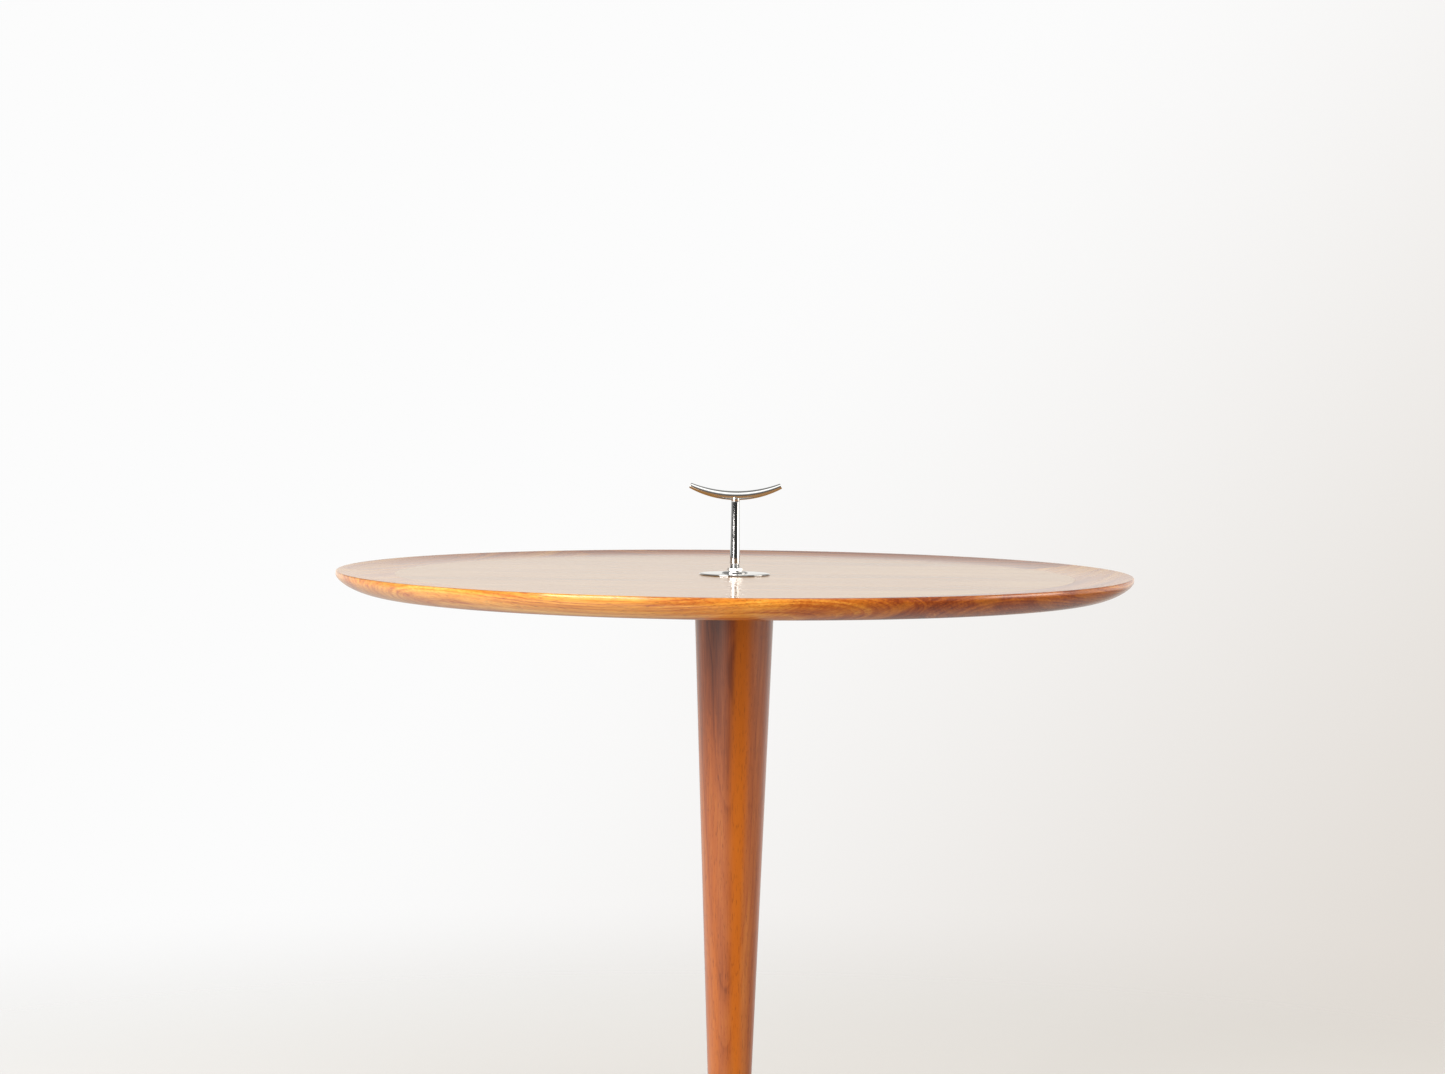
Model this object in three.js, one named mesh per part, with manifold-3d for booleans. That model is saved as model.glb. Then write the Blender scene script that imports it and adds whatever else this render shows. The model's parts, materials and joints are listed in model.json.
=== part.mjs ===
// Tilt top table: a dished round top that swings up on a hinge, a tapered column and three splayed legs.
// Millimetres, +Z up. The origin is on the floor under the column's axis, and the front is towards -Y.
// The turning handle carries a lug under the head plate. In line with the slot it frees the top,
// and across the slot it locks it.
import * as THREE from "three";
import { mergeVertices } from "three/addons/utils/BufferGeometryUtils.js";
import Module from "manifold-3d";

const wasm = await Module();
wasm.setup();

// Facets of a full turn
const topSides = 60;
const discSides = 32;
const shaftSides = 16;
const screwSides = 10;

// Clearances
const glueGap = 0.3; // between faces that are glued, screwed or rest on each other
const runningGap = 0.5; // between faces that pass each other
const boreGap = 0.1; // radial, a turning or screwed-in shaft in its bore

// The whole table
const topRadius = 381;
const crestHeight = 660; // floor to the highest ring of the rim
const legReach = 290; // column axis to the middle of a foot

// Top
const rimBand = 56; // width of the solid edge band
const rimThickness = 21.6;
const rimEdgeFace = 2.6; // upright part of the outer edge
const rimEdgeRound = 1.2;
const rimUndercut = 36; // where the curved underside starts, in from the edge
const undercutPower = 1.54; // superellipse exponent of the curved underside
const dishDepth = 3.4; // the panel lies this far below the crest
const dishPower = 1.7;
const veneerThickness = 0.8;
const tongueThickness = 5;
const tongueDepth = 8;
const rimSegments = 4;
const firstJointAngle = 26; // degrees from +X, a quarter turn apart
const splineSize = { across: 20, along: 28, thick: 4 };

// Handle and its fittings
const tubeRadius = 4.7; // threaded tube through the top
const neckHeight = 3.8; // thread left above the jam nut
const tubeBelow = 0.6; // tube past the top plate
const shankRadius = 3;
const shankBelow = 0.5; // shank past the lug
const flangeRadius = 34;
const flangeThickness = 1.4;
const washerRadius = 12.5;
const washerThickness = 1.5;
const washerSlope = 2.5; // its sloped rim, in plan
const jamNutFlats = 13;
const jamNutHeight = 2.8;
const jamNutTurn = -12; // degrees, which way its corners point
const lowerNutFlats = 16;
const lowerNutHeight = 5.6;
const gripHeight = 76; // panel to the middle of the grip's centreline
const gripSpan = 86.6;
const gripRise = 9.5;
const gripMiddleRadius = 4.3;
const gripEndRadius = 2.6;
const stemBaseRadius = 4.85;
const stemWaist = { radius: 4.35, above: 24 }; // the hollow of its taper, above the shoulder
const stemTopRadius = 4.15;
const stemTopLength = 14; // straight part under the grip
const lugLength = 34;
const lugWidth = 9;
const lugHeight = 8;
const lugDrop = 2.6; // lug's top below the head plate
const bossRadius = 6.2;
const lugPinRadius = 1.5;
const thrustThickness = 1.2;

// Plates and hinge between the top and the column
const topPlateRadius = 64;
const topPlateThickness = 3;
const headPlateWidth = 108;
const headPlateThickness = 4;
const plateGap = 2.4;
const knuckleRadius = 5;
const hingePinRadius = 3;
const hingeForward = 50; // column axis to hinge axis
const lipHalfWidth = 16;
const innerEar = [22, 30]; // along X, both sides
const outerEar = [44, 52];
const slotGap = { side: 0.6, end: 3 }; // head plate's slot, past the lug's swing and past its end
const topScrewRadius = 57;
const topScrewAngles = [5, 60, 120, 175, 262, 278];
const headScrewRadius = 28;
const screwShank = 2;
const screwHead = 3.9;

// Column and base
const columnTopRadius = 38.2;
const columnBottomRadius = 20.2;
const hubBottom = 84;
const hubTop = 144;
const hubRadius = 36;
const hubCollarRadius = 22;
const spigotRadius = 13;
const spigotLength = 52;
const recessDepth = 17;
const boltRadius = 4;
const boltEmbed = 75; // bolt above the hub's bottom
const legCount = 3;
const firstLegAngle = -90;
const legRoot = { height: 42, width: 27 };
const legFoot = { height: 22, width: 19 };
const tenon = { thick: 12, tall: 26, depth: 19 };
const dowelRadius = 4;
const glideHeight = 6;
const glideRadius = 10;

// Levels and places that follow
const crest = crestHeight;
const panelTop = crest - dishDepth;
const underside = crest - rimThickness;
const panelRadius = topRadius - rimBand;
const coreTop = panelTop - veneerThickness - glueGap;
const coreBottom = underside + veneerThickness + glueGap;
const tubeHole = tubeRadius + glueGap;
const topPlateTop = underside - glueGap;
const topPlateBottom = topPlateTop - topPlateThickness;
const headPlateTop = topPlateBottom - plateGap;
const headPlateBottom = headPlateTop - headPlateThickness;
const columnTop = headPlateBottom - glueGap;
const hinge = { y: -hingeForward, z: underside - knuckleRadius - runningGap };
const flangeBottom = panelTop + glueGap;
const washerBottom = flangeBottom + flangeThickness + glueGap;
const jamNutBottom = washerBottom + washerThickness + glueGap;
const tubeTop = jamNutBottom + jamNutHeight + neckHeight;
const tubeBottom = topPlateBottom - tubeBelow;
const gripCentre = panelTop + gripHeight;
const lugTop = headPlateBottom - lugDrop;
const lugBottom = lugTop - lugHeight;
const lugSwing = Math.hypot(hingeForward + bossRadius, hinge.z - lugBottom) - hingeForward;
const slotHalf = { x: lugLength / 2 + slotGap.end, y: lugSwing + slotGap.side };
const recessRadius = slotHalf.x + runningGap;

// ---- Solids: closed meshes and their cuts ----

function toSolid(geometry) {
  const bare = new THREE.BufferGeometry();
  bare.setAttribute("position", geometry.getAttribute("position"));
  if (geometry.index) bare.setIndex(geometry.index);
  const merged = mergeVertices(bare, 1e-4);
  return new wasm.Manifold(
    new wasm.Mesh({
      numProp: 3,
      vertProperties: new Float32Array(merged.attributes.position.array),
      triVerts: new Uint32Array(merged.index.array),
    }),
  );
}

function toGeometry(solid) {
  const mesh = solid.getMesh();
  const geometry = new THREE.BufferGeometry();
  geometry.setAttribute("position", new THREE.BufferAttribute(mesh.vertProperties, 3));
  geometry.setIndex(new THREE.BufferAttribute(mesh.triVerts, 1));
  return geometry;
}

function cut(geometry, ...tools) {
  return toGeometry(tools.reduce((solid, tool) => solid.subtract(toSolid(tool)), toSolid(geometry)));
}

function join(geometry, ...more) {
  return toGeometry(more.reduce((solid, other) => solid.add(toSolid(other)), toSolid(geometry)));
}

function common(geometry, other) {
  return toGeometry(toSolid(geometry).intersect(toSolid(other)));
}

const radians = THREE.MathUtils.degToRad;

// The [x, y] point at a radius and an angle in degrees.
function polar(radius, angle) {
  return [radius * Math.cos(radians(angle)), radius * Math.sin(radians(angle))];
}

// Twice the signed area of a closed outline: positive when it runs counter-clockwise.
function turn(points) {
  return points.reduce((sum, [x, y], i) => {
    const [nextX, nextY] = points[(i + 1) % points.length];
    return sum + x * nextY - nextX * y;
  }, 0);
}

// A full turn about Z of an outline of [radius, z] points, its first facet edge at startAngle degrees.
function lathe(outline, steps = 36, startAngle = 0) {
  const points = turn(outline) > 0 ? outline : [...outline].reverse();
  const onAxis = points.findIndex(([r], i) => r === 0 && points.at(i - 1)[0] === 0);
  const started = [...points.slice(onAxis), ...points.slice(0, onAxis)];
  const ordered = onAxis < 0 ? [...points, points[0]] : started;
  const profile = ordered.map(([r, z]) => new THREE.Vector2(r, z));
  const geometry = new THREE.LatheGeometry(profile, steps, radians(startAngle + 90));
  return geometry.rotateX(Math.PI / 2);
}

// A solid through closed rings of equal point counts, with flat triangulated ends.
function loft(rings, endFaces) {
  const count = rings[0].length;
  const index = [];
  for (let ring = 0; ring + 1 < rings.length; ring += 1) {
    for (let i = 0; i < count; i += 1) {
      const a = ring * count + i;
      const b = ring * count + ((i + 1) % count);
      index.push(a, b, b + count, a, b + count, a + count);
    }
  }
  const last = (rings.length - 1) * count;
  for (const [a, b, c] of endFaces) {
    index.push(a, c, b);
    index.push(last + a, last + b, last + c);
  }
  const geometry = new THREE.BufferGeometry();
  geometry.setAttribute("position", new THREE.Float32BufferAttribute(rings.flat(2), 3));
  geometry.setIndex(index);
  return geometry;
}

// A fan over a convex ring.
function fan(count) {
  return Array.from({ length: count - 2 }, (_, i) => [0, i + 1, i + 2]);
}

// Part of a turn about Z of an outline of [radius, z] points, with cut ends.
function arcSweep(outline, fromAngle, toAngle, steps) {
  const points = turn(outline) > 0 ? outline : [...outline].reverse();
  const rings = [];
  for (let i = 0; i <= steps; i += 1) {
    const angle = toAngle + ((fromAngle - toAngle) * i) / steps;
    rings.push(points.map(([r, z]) => [...polar(r, angle), z]));
  }
  const flat = points.map(([r, z]) => new THREE.Vector2(r, z));
  return loft(rings, THREE.ShapeUtils.triangulateShape(flat, []));
}

function block(x, y, z) {
  const geometry = new THREE.BoxGeometry(x[1] - x[0], y[1] - y[0], z[1] - z[0]);
  return geometry.translate((x[0] + x[1]) / 2, (y[0] + y[1]) / 2, (z[0] + z[1]) / 2);
}

function rod(radius, bottom, top, steps = shaftSides) {
  return lathe([[0, bottom], [radius, bottom], [radius, top], [0, top]], steps);
}

function ring(inner, outer, bottom, top, steps = shaftSides) {
  return lathe([[inner, bottom], [outer, bottom], [outer, top], [inner, top]], steps);
}

// A rod or ring turned to lie along X.
function alongX(geometry) {
  return geometry.rotateY(Math.PI / 2);
}

// A chamfered hexagon nut, its corners turned by some degrees.
function hexNut(flats, bore, bottom, height, turnBy = 0) {
  const cornerRadius = flats / 2 / Math.cos(Math.PI / 6);
  const chamfer = cornerRadius - flats / 2;
  const hexagon = rod(cornerRadius, bottom, bottom + height, 6);
  const turned = lathe([
    [0, bottom],
    [flats / 2, bottom],
    [cornerRadius, bottom + chamfer * 0.6],
    [cornerRadius, bottom + height - chamfer * 0.6],
    [flats / 2, bottom + height],
    [0, bottom + height],
  ], 24);
  const body = common(hexagon, turned).rotateZ(radians(turnBy));
  return cut(body, rod(bore, bottom - 1, bottom + height + 1));
}

// A countersunk wood screw pointing up, its flat head at z = 0.
function screw(length, extra = 0) {
  const shank = screwShank + extra;
  const head = screwHead + extra;
  return lathe([
    [0, -extra],
    [head, -extra],
    [head, 0.4],
    [shank, 2.3],
    [shank, length - 2],
    [0.4, length + extra],
    [0, length + extra],
  ], screwSides);
}

// ---- The scene graph ----

const table = new THREE.Group();
table.name = "tilt_top_table";

function finish(colour, roughness, metalness = 0) {
  return () => new THREE.MeshStandardMaterial({ color: colour, roughness, metalness });
}

const finishes = {
  walnut: finish(0x8a5330, 0.42),
  goldenWalnut: finish(0xb97c46, 0.4),
  paleVeneer: finish(0xe3cdb4, 0.3),
  plywood: finish(0xc9a677, 0.75),
  beech: finish(0xd2a878, 0.6),
  chrome: finish(0xd8d8d8, 0.08, 1),
  zincSteel: finish(0x9a9b98, 0.4, 0.9),
  blackSteel: finish(0x2c2c2e, 0.5, 0.7),
  rubber: finish(0x1d1d1d, 0.85),
  nylon: finish(0xe4e1d8, 0.5),
};

function piece(name, geometry, material, parent = table) {
  const shaded = geometry.index ? geometry.toNonIndexed() : geometry;
  shaded.computeVertexNormals();
  const mesh = new THREE.Mesh(shaded, material());
  mesh.name = name;
  parent.add(mesh);
  return mesh;
}

// ---- Top: core, veneers and the solid rim ----

const jointStep = 360 / rimSegments;
const tongueMiddle = (coreTop + coreBottom) / 2;
const nutPocketTop = underside + lowerNutHeight + glueGap;
const nutPocketRadius = lowerNutFlats / 2 / Math.cos(Math.PI / 6) + 1;

const topScrewLength = coreTop - topPlateBottom - 4;

function topScrewTools(extra) {
  return topScrewAngles.map((angle) =>
    screw(topScrewLength, extra).translate(...polar(topScrewRadius, angle), topPlateBottom));
}

const coreOutline = [
  [tubeHole, coreTop],
  [panelRadius, coreTop],
  [panelRadius, tongueMiddle + tongueThickness / 2],
  [panelRadius + tongueDepth, tongueMiddle + tongueThickness / 2],
  [panelRadius + tongueDepth, tongueMiddle - tongueThickness / 2],
  [panelRadius, tongueMiddle - tongueThickness / 2],
  [panelRadius, coreBottom],
  [nutPocketRadius, coreBottom],
  [nutPocketRadius, nutPocketTop],
  [tubeHole, nutPocketTop],
];
const core = lathe(coreOutline, topSides, firstJointAngle);
piece("core_panel", cut(core, ...topScrewTools(boreGap)), finishes.plywood);

const face = lathe([
  [tubeHole, coreTop + glueGap],
  [panelRadius, coreTop + glueGap],
  [panelRadius, panelTop],
  [tubeHole, panelTop],
], topSides, firstJointAngle);
piece("face_veneer", face, finishes.paleVeneer);

const backing = lathe([
  [nutPocketRadius, underside],
  [panelRadius, underside],
  [panelRadius, coreBottom - glueGap],
  [nutPocketRadius, coreBottom - glueGap],
], topSides, firstJointAngle);
piece("backing_veneer", cut(backing, ...topScrewTools(boreGap)), finishes.plywood);

// The rim's section: a dished top, a rounded edge, a superellipse under it and a groove for the tongue.
function rimOutline() {
  const inner = panelRadius + glueGap;
  const points = [];
  const dishSteps = 4;
  const dishEnd = topRadius - rimEdgeRound * 2;
  for (let i = 0; i <= dishSteps; i += 1) {
    const share = i / dishSteps;
    points.push([inner + (dishEnd - inner) * share, crest - dishDepth * (1 - share ** dishPower)]);
  }
  points.push([topRadius - rimEdgeRound * 0.35, crest - rimEdgeRound * 0.35]);
  points.push([topRadius, crest - rimEdgeRound]);
  const curveTop = crest - rimEdgeRound - rimEdgeFace;
  const curveSteps = 7;
  for (let i = 0; i <= curveSteps; i += 1) {
    const angle = (Math.PI / 2) * (i / curveSteps);
    points.push([
      topRadius - rimUndercut + rimUndercut * Math.cos(angle) ** (2 / undercutPower),
      curveTop - (curveTop - underside) * Math.sin(angle) ** (2 / undercutPower),
    ]);
  }
  const grooveHalf = tongueThickness / 2 + glueGap;
  points.push([inner, underside]);
  points.push([inner, tongueMiddle - grooveHalf]);
  points.push([inner + tongueDepth, tongueMiddle - grooveHalf]);
  points.push([inner + tongueDepth, tongueMiddle + grooveHalf]);
  points.push([inner, tongueMiddle + grooveHalf]);
  return points;
}

const splineMiddleRadius = panelRadius + tongueDepth + splineSize.along / 2 + 2;

// A loose tongue across a joint of the rim, or with extra its slot.
function rimSpline(angle, extra = 0) {
  const along = splineSize.along / 2 + extra;
  const across = splineSize.across / 2 + extra;
  const thick = splineSize.thick / 2 + extra;
  const middle = splineMiddleRadius;
  return block(
    [middle - along, middle + along],
    [-across, across],
    [tongueMiddle - thick, tongueMiddle + thick],
  ).rotateZ(radians(angle));
}

const jointHalfGap = THREE.MathUtils.radToDeg(glueGap / 2 / panelRadius);
for (let i = 0; i < rimSegments; i += 1) {
  const start = firstJointAngle + i * jointStep;
  const end = start + jointStep;
  const span = [start + jointHalfGap, end - jointHalfGap];
  const band = arcSweep(rimOutline(), ...span, topSides / rimSegments);
  const slots = [rimSpline(start, glueGap), rimSpline(end, glueGap)];
  piece(`rim_segment_${i + 1}`, cut(band, ...slots), finishes.goldenWalnut);
  piece(`rim_spline_${i + 1}`, rimSpline(start), finishes.beech);
}

// ---- Hinge plates ----

const mirrored = [-1, 1];
const topKnuckle = [innerEar[1] + runningGap, outerEar[0] - runningGap];
const pinHeadThickness = 1.5;
const clip = {
  thick: 1,
  inner: hingePinRadius - 0.6,
  outer: knuckleRadius,
  start: outerEar[1] + runningGap,
};
const pinEnd = clip.start + clip.thick + 1.8;
const pinHeadEnd = innerEar[0] - glueGap;

// A span along X, on the left or the right side.
function onSide(side, span) {
  return side > 0 ? span : [-span[1], -span[0]];
}

// A rod about the hinge axis, along a span of X.
function aboutHinge(radius, span) {
  return alongX(rod(radius, span[0], span[1])).translate(0, hinge.y, hinge.z);
}

function topPlate() {
  const disc = ring(tubeHole, topPlateRadius, topPlateBottom, topPlateTop, discSides);
  const reach = knuckleRadius + runningGap;
  const behind = [hinge.y - reach, hinge.y + reach];
  const through = [topPlateBottom - 1, topPlateTop + 1];
  const notches = mirrored.flatMap((side) => [
    block(onSide(side, [pinHeadEnd - pinHeadThickness - runningGap, topKnuckle[0]]), behind, through),
    block(onSide(side, [topKnuckle[1], pinEnd + runningGap]), behind, through),
  ]);
  const knuckles = mirrored.flatMap((side) => {
    const span = onSide(side, topKnuckle);
    const leaf = block(span, [hinge.y - knuckleRadius, hinge.y + knuckleRadius], [hinge.z, topPlateTop]);
    return [aboutHinge(knuckleRadius, span), leaf];
  });
  const bore = aboutHinge(hingePinRadius + boreGap, [-pinEnd, pinEnd]);
  const keep = [-lipHalfWidth, lipHalfWidth];
  const sideBores = [cut(bore, block(keep, [hinge.y - 10, hinge.y + 10], [hinge.z - 10, hinge.z + 10]))];
  const cutDisc = cut(disc, ...notches);
  return cut(join(cutDisc, ...knuckles), ...sideBores, ...topScrewTools(boreGap));
}
piece("top_plate", topPlate(), finishes.blackSteel);

topScrewAngles.forEach((angle, i) => {
  const placed = screw(topScrewLength).translate(...polar(topScrewRadius, angle), topPlateBottom);
  piece(`top_plate_screw_${i + 1}`, placed, finishes.zincSteel);
});

const headScrewLength = 30;
const headScrewAngles = [45, 135, 225, 315];

// A screw down through the head plate into the column.
function headScrew(angle, extra = 0) {
  return screw(headScrewLength, extra)
    .rotateX(Math.PI)
    .translate(...polar(headScrewRadius, angle), headPlateTop);
}

function headPlate() {
  const front = hinge.y + knuckleRadius + runningGap;
  const half = headPlateWidth / 2;
  const outline = new THREE.Shape();
  outline.moveTo(-half, front);
  outline.lineTo(half, front);
  outline.lineTo(half, 0);
  outline.absarc(0, 0, half, 0, Math.PI, false);
  outline.closePath();
  const plate = new THREE.ExtrudeGeometry(outline, {
    depth: headPlateThickness,
    bevelEnabled: false,
    curveSegments: discSides / 2,
  }).translate(0, 0, headPlateBottom);
  const height = [headPlateBottom, headPlateTop];
  const lipEnd = hinge.y - (topPlateBottom - hinge.z - runningGap);
  const additions = [block([-lipHalfWidth, lipHalfWidth], [lipEnd, front + 2], height)];
  for (const side of mirrored) {
    for (const ear of [innerEar, outerEar]) {
      additions.push(block(onSide(side, ear), [hinge.y, front + 2], height));
      additions.push(aboutHinge(knuckleRadius, onSide(side, ear)));
    }
  }
  const slot = block([-slotHalf.x, slotHalf.x], [-slotHalf.y, slotHalf.y],
    [headPlateBottom - 1, headPlateTop + 1]);
  const bores = mirrored.map((side) =>
    aboutHinge(hingePinRadius + boreGap, onSide(side, [innerEar[0] - 1, pinEnd])));
  const screws = headScrewAngles.map((angle) => headScrew(angle, boreGap));
  return cut(join(plate, ...additions), slot, ...bores, ...screws);
}
piece("head_plate", headPlate(), finishes.blackSteel);

headScrewAngles.forEach((angle, i) => {
  piece(`head_plate_screw_${i + 1}`, headScrew(angle), finishes.zincSteel);
});

for (const side of mirrored) {
  const name = side < 0 ? "left" : "right";
  const pin = lathe([
    [0, pinHeadEnd - pinHeadThickness],
    [knuckleRadius - 0.6, pinHeadEnd - pinHeadThickness],
    [knuckleRadius - 0.6, pinHeadEnd],
    [hingePinRadius, pinHeadEnd],
    [hingePinRadius, clip.start - 0.2],
    [clip.inner - boreGap, clip.start - 0.2],
    [clip.inner - boreGap, clip.start + clip.thick + 0.2],
    [hingePinRadius, clip.start + clip.thick + 0.2],
    [hingePinRadius, pinEnd],
    [0, pinEnd],
  ], shaftSides);
  const collar = ring(clip.inner, clip.outer, clip.start, clip.start + clip.thick);
  for (const [label, made] of [["hinge_pin", pin], ["hinge_clip", collar]]) {
    const laid = alongX(made);
    if (side < 0) laid.rotateZ(Math.PI);
    piece(`${label}_${name}`, laid.translate(0, hinge.y, hinge.z), finishes.zincSteel);
  }
}

// Pads between the plates, under the back of the top.
const restPad = { radius: 6, aside: 30, back: 32 };
for (const side of mirrored) {
  const pad = rod(restPad.radius, headPlateTop + glueGap, topPlateBottom - glueGap);
  pad.translate(side * restPad.aside, restPad.back, 0);
  piece(`rest_pad_${side < 0 ? "left" : "right"}`, pad, finishes.rubber);
}

// ---- Handle and its fittings ----

piece("guide_tube", ring(shankRadius + boreGap, tubeRadius, tubeBottom, tubeTop), finishes.chrome);
const lowerNut = hexNut(lowerNutFlats, tubeRadius + boreGap, underside, lowerNutHeight);
piece("lower_nut", lowerNut, finishes.zincSteel);

const flangeOutline = [
  [tubeHole, flangeBottom],
  [flangeRadius, flangeBottom],
  [flangeRadius, flangeBottom + flangeThickness * 0.4],
  [flangeRadius - 1.2, flangeBottom + flangeThickness],
  [tubeHole, flangeBottom + flangeThickness],
];
piece("flange_disc", lathe(flangeOutline, discSides), finishes.chrome);

const washerOutline = [
  [tubeHole, washerBottom],
  [washerRadius, washerBottom],
  [washerRadius, washerBottom + washerThickness * 0.5],
  [washerRadius - washerSlope, washerBottom + washerThickness],
  [tubeHole, washerBottom + washerThickness],
];
piece("jam_washer", lathe(washerOutline, 24), finishes.chrome);
const jamNut = hexNut(jamNutFlats, tubeRadius + boreGap, jamNutBottom, jamNutHeight, jamNutTurn);
piece("jam_nut", jamNut, finishes.chrome);

// The grip: a round bar on a shallow arc, thick in the middle, with ends cut square to it.
function gripSolid(extra = 0) {
  const halfAngle = 2 * Math.atan(gripRise / (gripSpan / 2));
  const bend = gripSpan / 2 / Math.sin(halfAngle);
  const sides = 14;
  const steps = 12;
  const rings = [];
  for (let i = 0; i <= steps; i += 1) {
    const share = 2 * (i / steps) - 1;
    const angle = share * halfAngle;
    const radius = gripEndRadius + (gripMiddleRadius - gripEndRadius) * (1 - share ** 2) + extra;
    const section = [];
    for (let k = 0; k < sides; k += 1) {
      const around = (2 * Math.PI * k) / sides;
      const out = bend - radius * Math.sin(around);
      section.push([
        out * Math.sin(angle),
        radius * Math.cos(around),
        gripCentre + bend - out * Math.cos(angle),
      ]);
    }
    rings.push(section);
  }
  return loft(rings, fan(sides));
}

const spigot = { radius: 2.4, top: gripCentre + 1.2 };
const gripSocket = rod(spigot.radius + boreGap, gripCentre - 10, spigot.top + glueGap);
piece("handle_grip", cut(gripSolid(), gripSocket), finishes.chrome);

const shoulder = tubeTop + glueGap;
const shankBottom = lugBottom - shankBelow;
const stemBody = lathe([
  [0, shankBottom],
  [shankRadius, shankBottom],
  [shankRadius, shoulder],
  [stemBaseRadius, shoulder],
  [stemWaist.radius, shoulder + stemWaist.above],
  [stemTopRadius, gripCentre - stemTopLength],
  [stemTopRadius, gripCentre],
  [0, gripCentre],
], shaftSides);
const lugPinHeight = (lugTop + lugBottom) / 2;

function crossRod(radius, halfLength) {
  const upright = rod(radius, -halfLength, halfLength, screwSides);
  return upright.rotateX(Math.PI / 2).translate(0, 0, lugPinHeight);
}

const coped = cut(stemBody, gripSolid(glueGap), crossRod(lugPinRadius + boreGap, 20));
const stemSpigot = rod(spigot.radius, gripCentre - gripMiddleRadius - 4, spigot.top);
piece("handle_stem", join(coped, stemSpigot), finishes.chrome);

const thrustTop = tubeBottom - glueGap;
const bossTop = thrustTop - thrustThickness - glueGap;
const lugEnd = lugLength / 2;
const lugOutline = new THREE.Shape();
lugOutline.moveTo(-lugEnd + 2, -lugWidth / 2);
lugOutline.lineTo(lugEnd - 2, -lugWidth / 2);
lugOutline.quadraticCurveTo(lugEnd, -lugWidth / 2, lugEnd, 0);
lugOutline.quadraticCurveTo(lugEnd, lugWidth / 2, lugEnd - 2, lugWidth / 2);
lugOutline.lineTo(-lugEnd + 2, lugWidth / 2);
lugOutline.quadraticCurveTo(-lugEnd, lugWidth / 2, -lugEnd, 0);
lugOutline.quadraticCurveTo(-lugEnd, -lugWidth / 2, -lugEnd + 2, -lugWidth / 2);
const lugBar = new THREE.ExtrudeGeometry(lugOutline, {
  depth: lugHeight,
  bevelEnabled: false,
  curveSegments: 5,
}).translate(0, 0, lugBottom);
const lug = cut(
  join(lugBar, rod(bossRadius, lugTop - 2, bossTop)),
  rod(shankRadius + boreGap, lugBottom - 2, bossTop + 2),
  crossRod(lugPinRadius + boreGap, 20),
);
piece("lock_lug", lug, finishes.zincSteel);
piece("lug_pin", crossRod(lugPinRadius, lugWidth / 2), finishes.zincSteel);
const thrustWasher = ring(shankRadius + boreGap, bossRadius, thrustTop - thrustThickness, thrustTop);
piece("thrust_washer", thrustWasher, finishes.nylon);

// ---- Column and hub ----

const boltHoleTop = hubBottom + boltEmbed + 5;
const columnOutline = [
  [0, boltHoleTop],
  [boltRadius + boreGap, boltHoleTop],
  [boltRadius + boreGap, hubTop - spigotLength],
  [spigotRadius, hubTop - spigotLength],
  [spigotRadius, hubTop + glueGap],
  [columnBottomRadius, hubTop + glueGap],
  [columnTopRadius, columnTop],
  [recessRadius, columnTop],
  [recessRadius, columnTop - recessDepth],
  [0, columnTop - recessDepth],
];
const columnScrews = headScrewAngles.map((angle) => headScrew(angle, boreGap));
piece("column", cut(lathe(columnOutline, discSides), ...columnScrews), finishes.walnut);

const spigotHole = spigotRadius + glueGap;
const spigotFloor = hubTop - spigotLength - glueGap;
const hubOutline = [
  [boltRadius + boreGap, hubBottom],
  [hubRadius - 4, hubBottom],
  [hubRadius, hubBottom + 3],
  [hubRadius, hubTop - 14],
  [hubRadius - 1.4, hubTop - 11],
  [hubCollarRadius + 6, hubTop - 6],
  [hubCollarRadius + 1.4, hubTop - 2],
  [hubCollarRadius, hubTop],
  [spigotHole, hubTop],
  [spigotHole, spigotFloor],
  [boltRadius + boreGap, spigotFloor],
];

// ---- Legs, each drawn along +X and turned into place ----

const legTop = hubTop - 16;
const tenonMiddle = legTop - legRoot.height / 2;
const tenonInner = hubRadius - tenon.depth;
const dowelPlace = hubRadius - tenon.depth / 2;
const dowelTop = tenonMiddle + tenon.tall / 2 - 4;

// The leg's centreline: level at the hub, falling to the foot and a little past the floor.
const legLine = new THREE.CubicBezierCurve3(
  new THREE.Vector3(hubRadius - 8, 0, tenonMiddle),
  new THREE.Vector3(legReach * 0.5, 0, tenonMiddle + 10),
  new THREE.Vector3(legReach * 0.78, 0, tenonMiddle * 0.48),
  new THREE.Vector3(legReach + 5, 0, -2),
);

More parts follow.
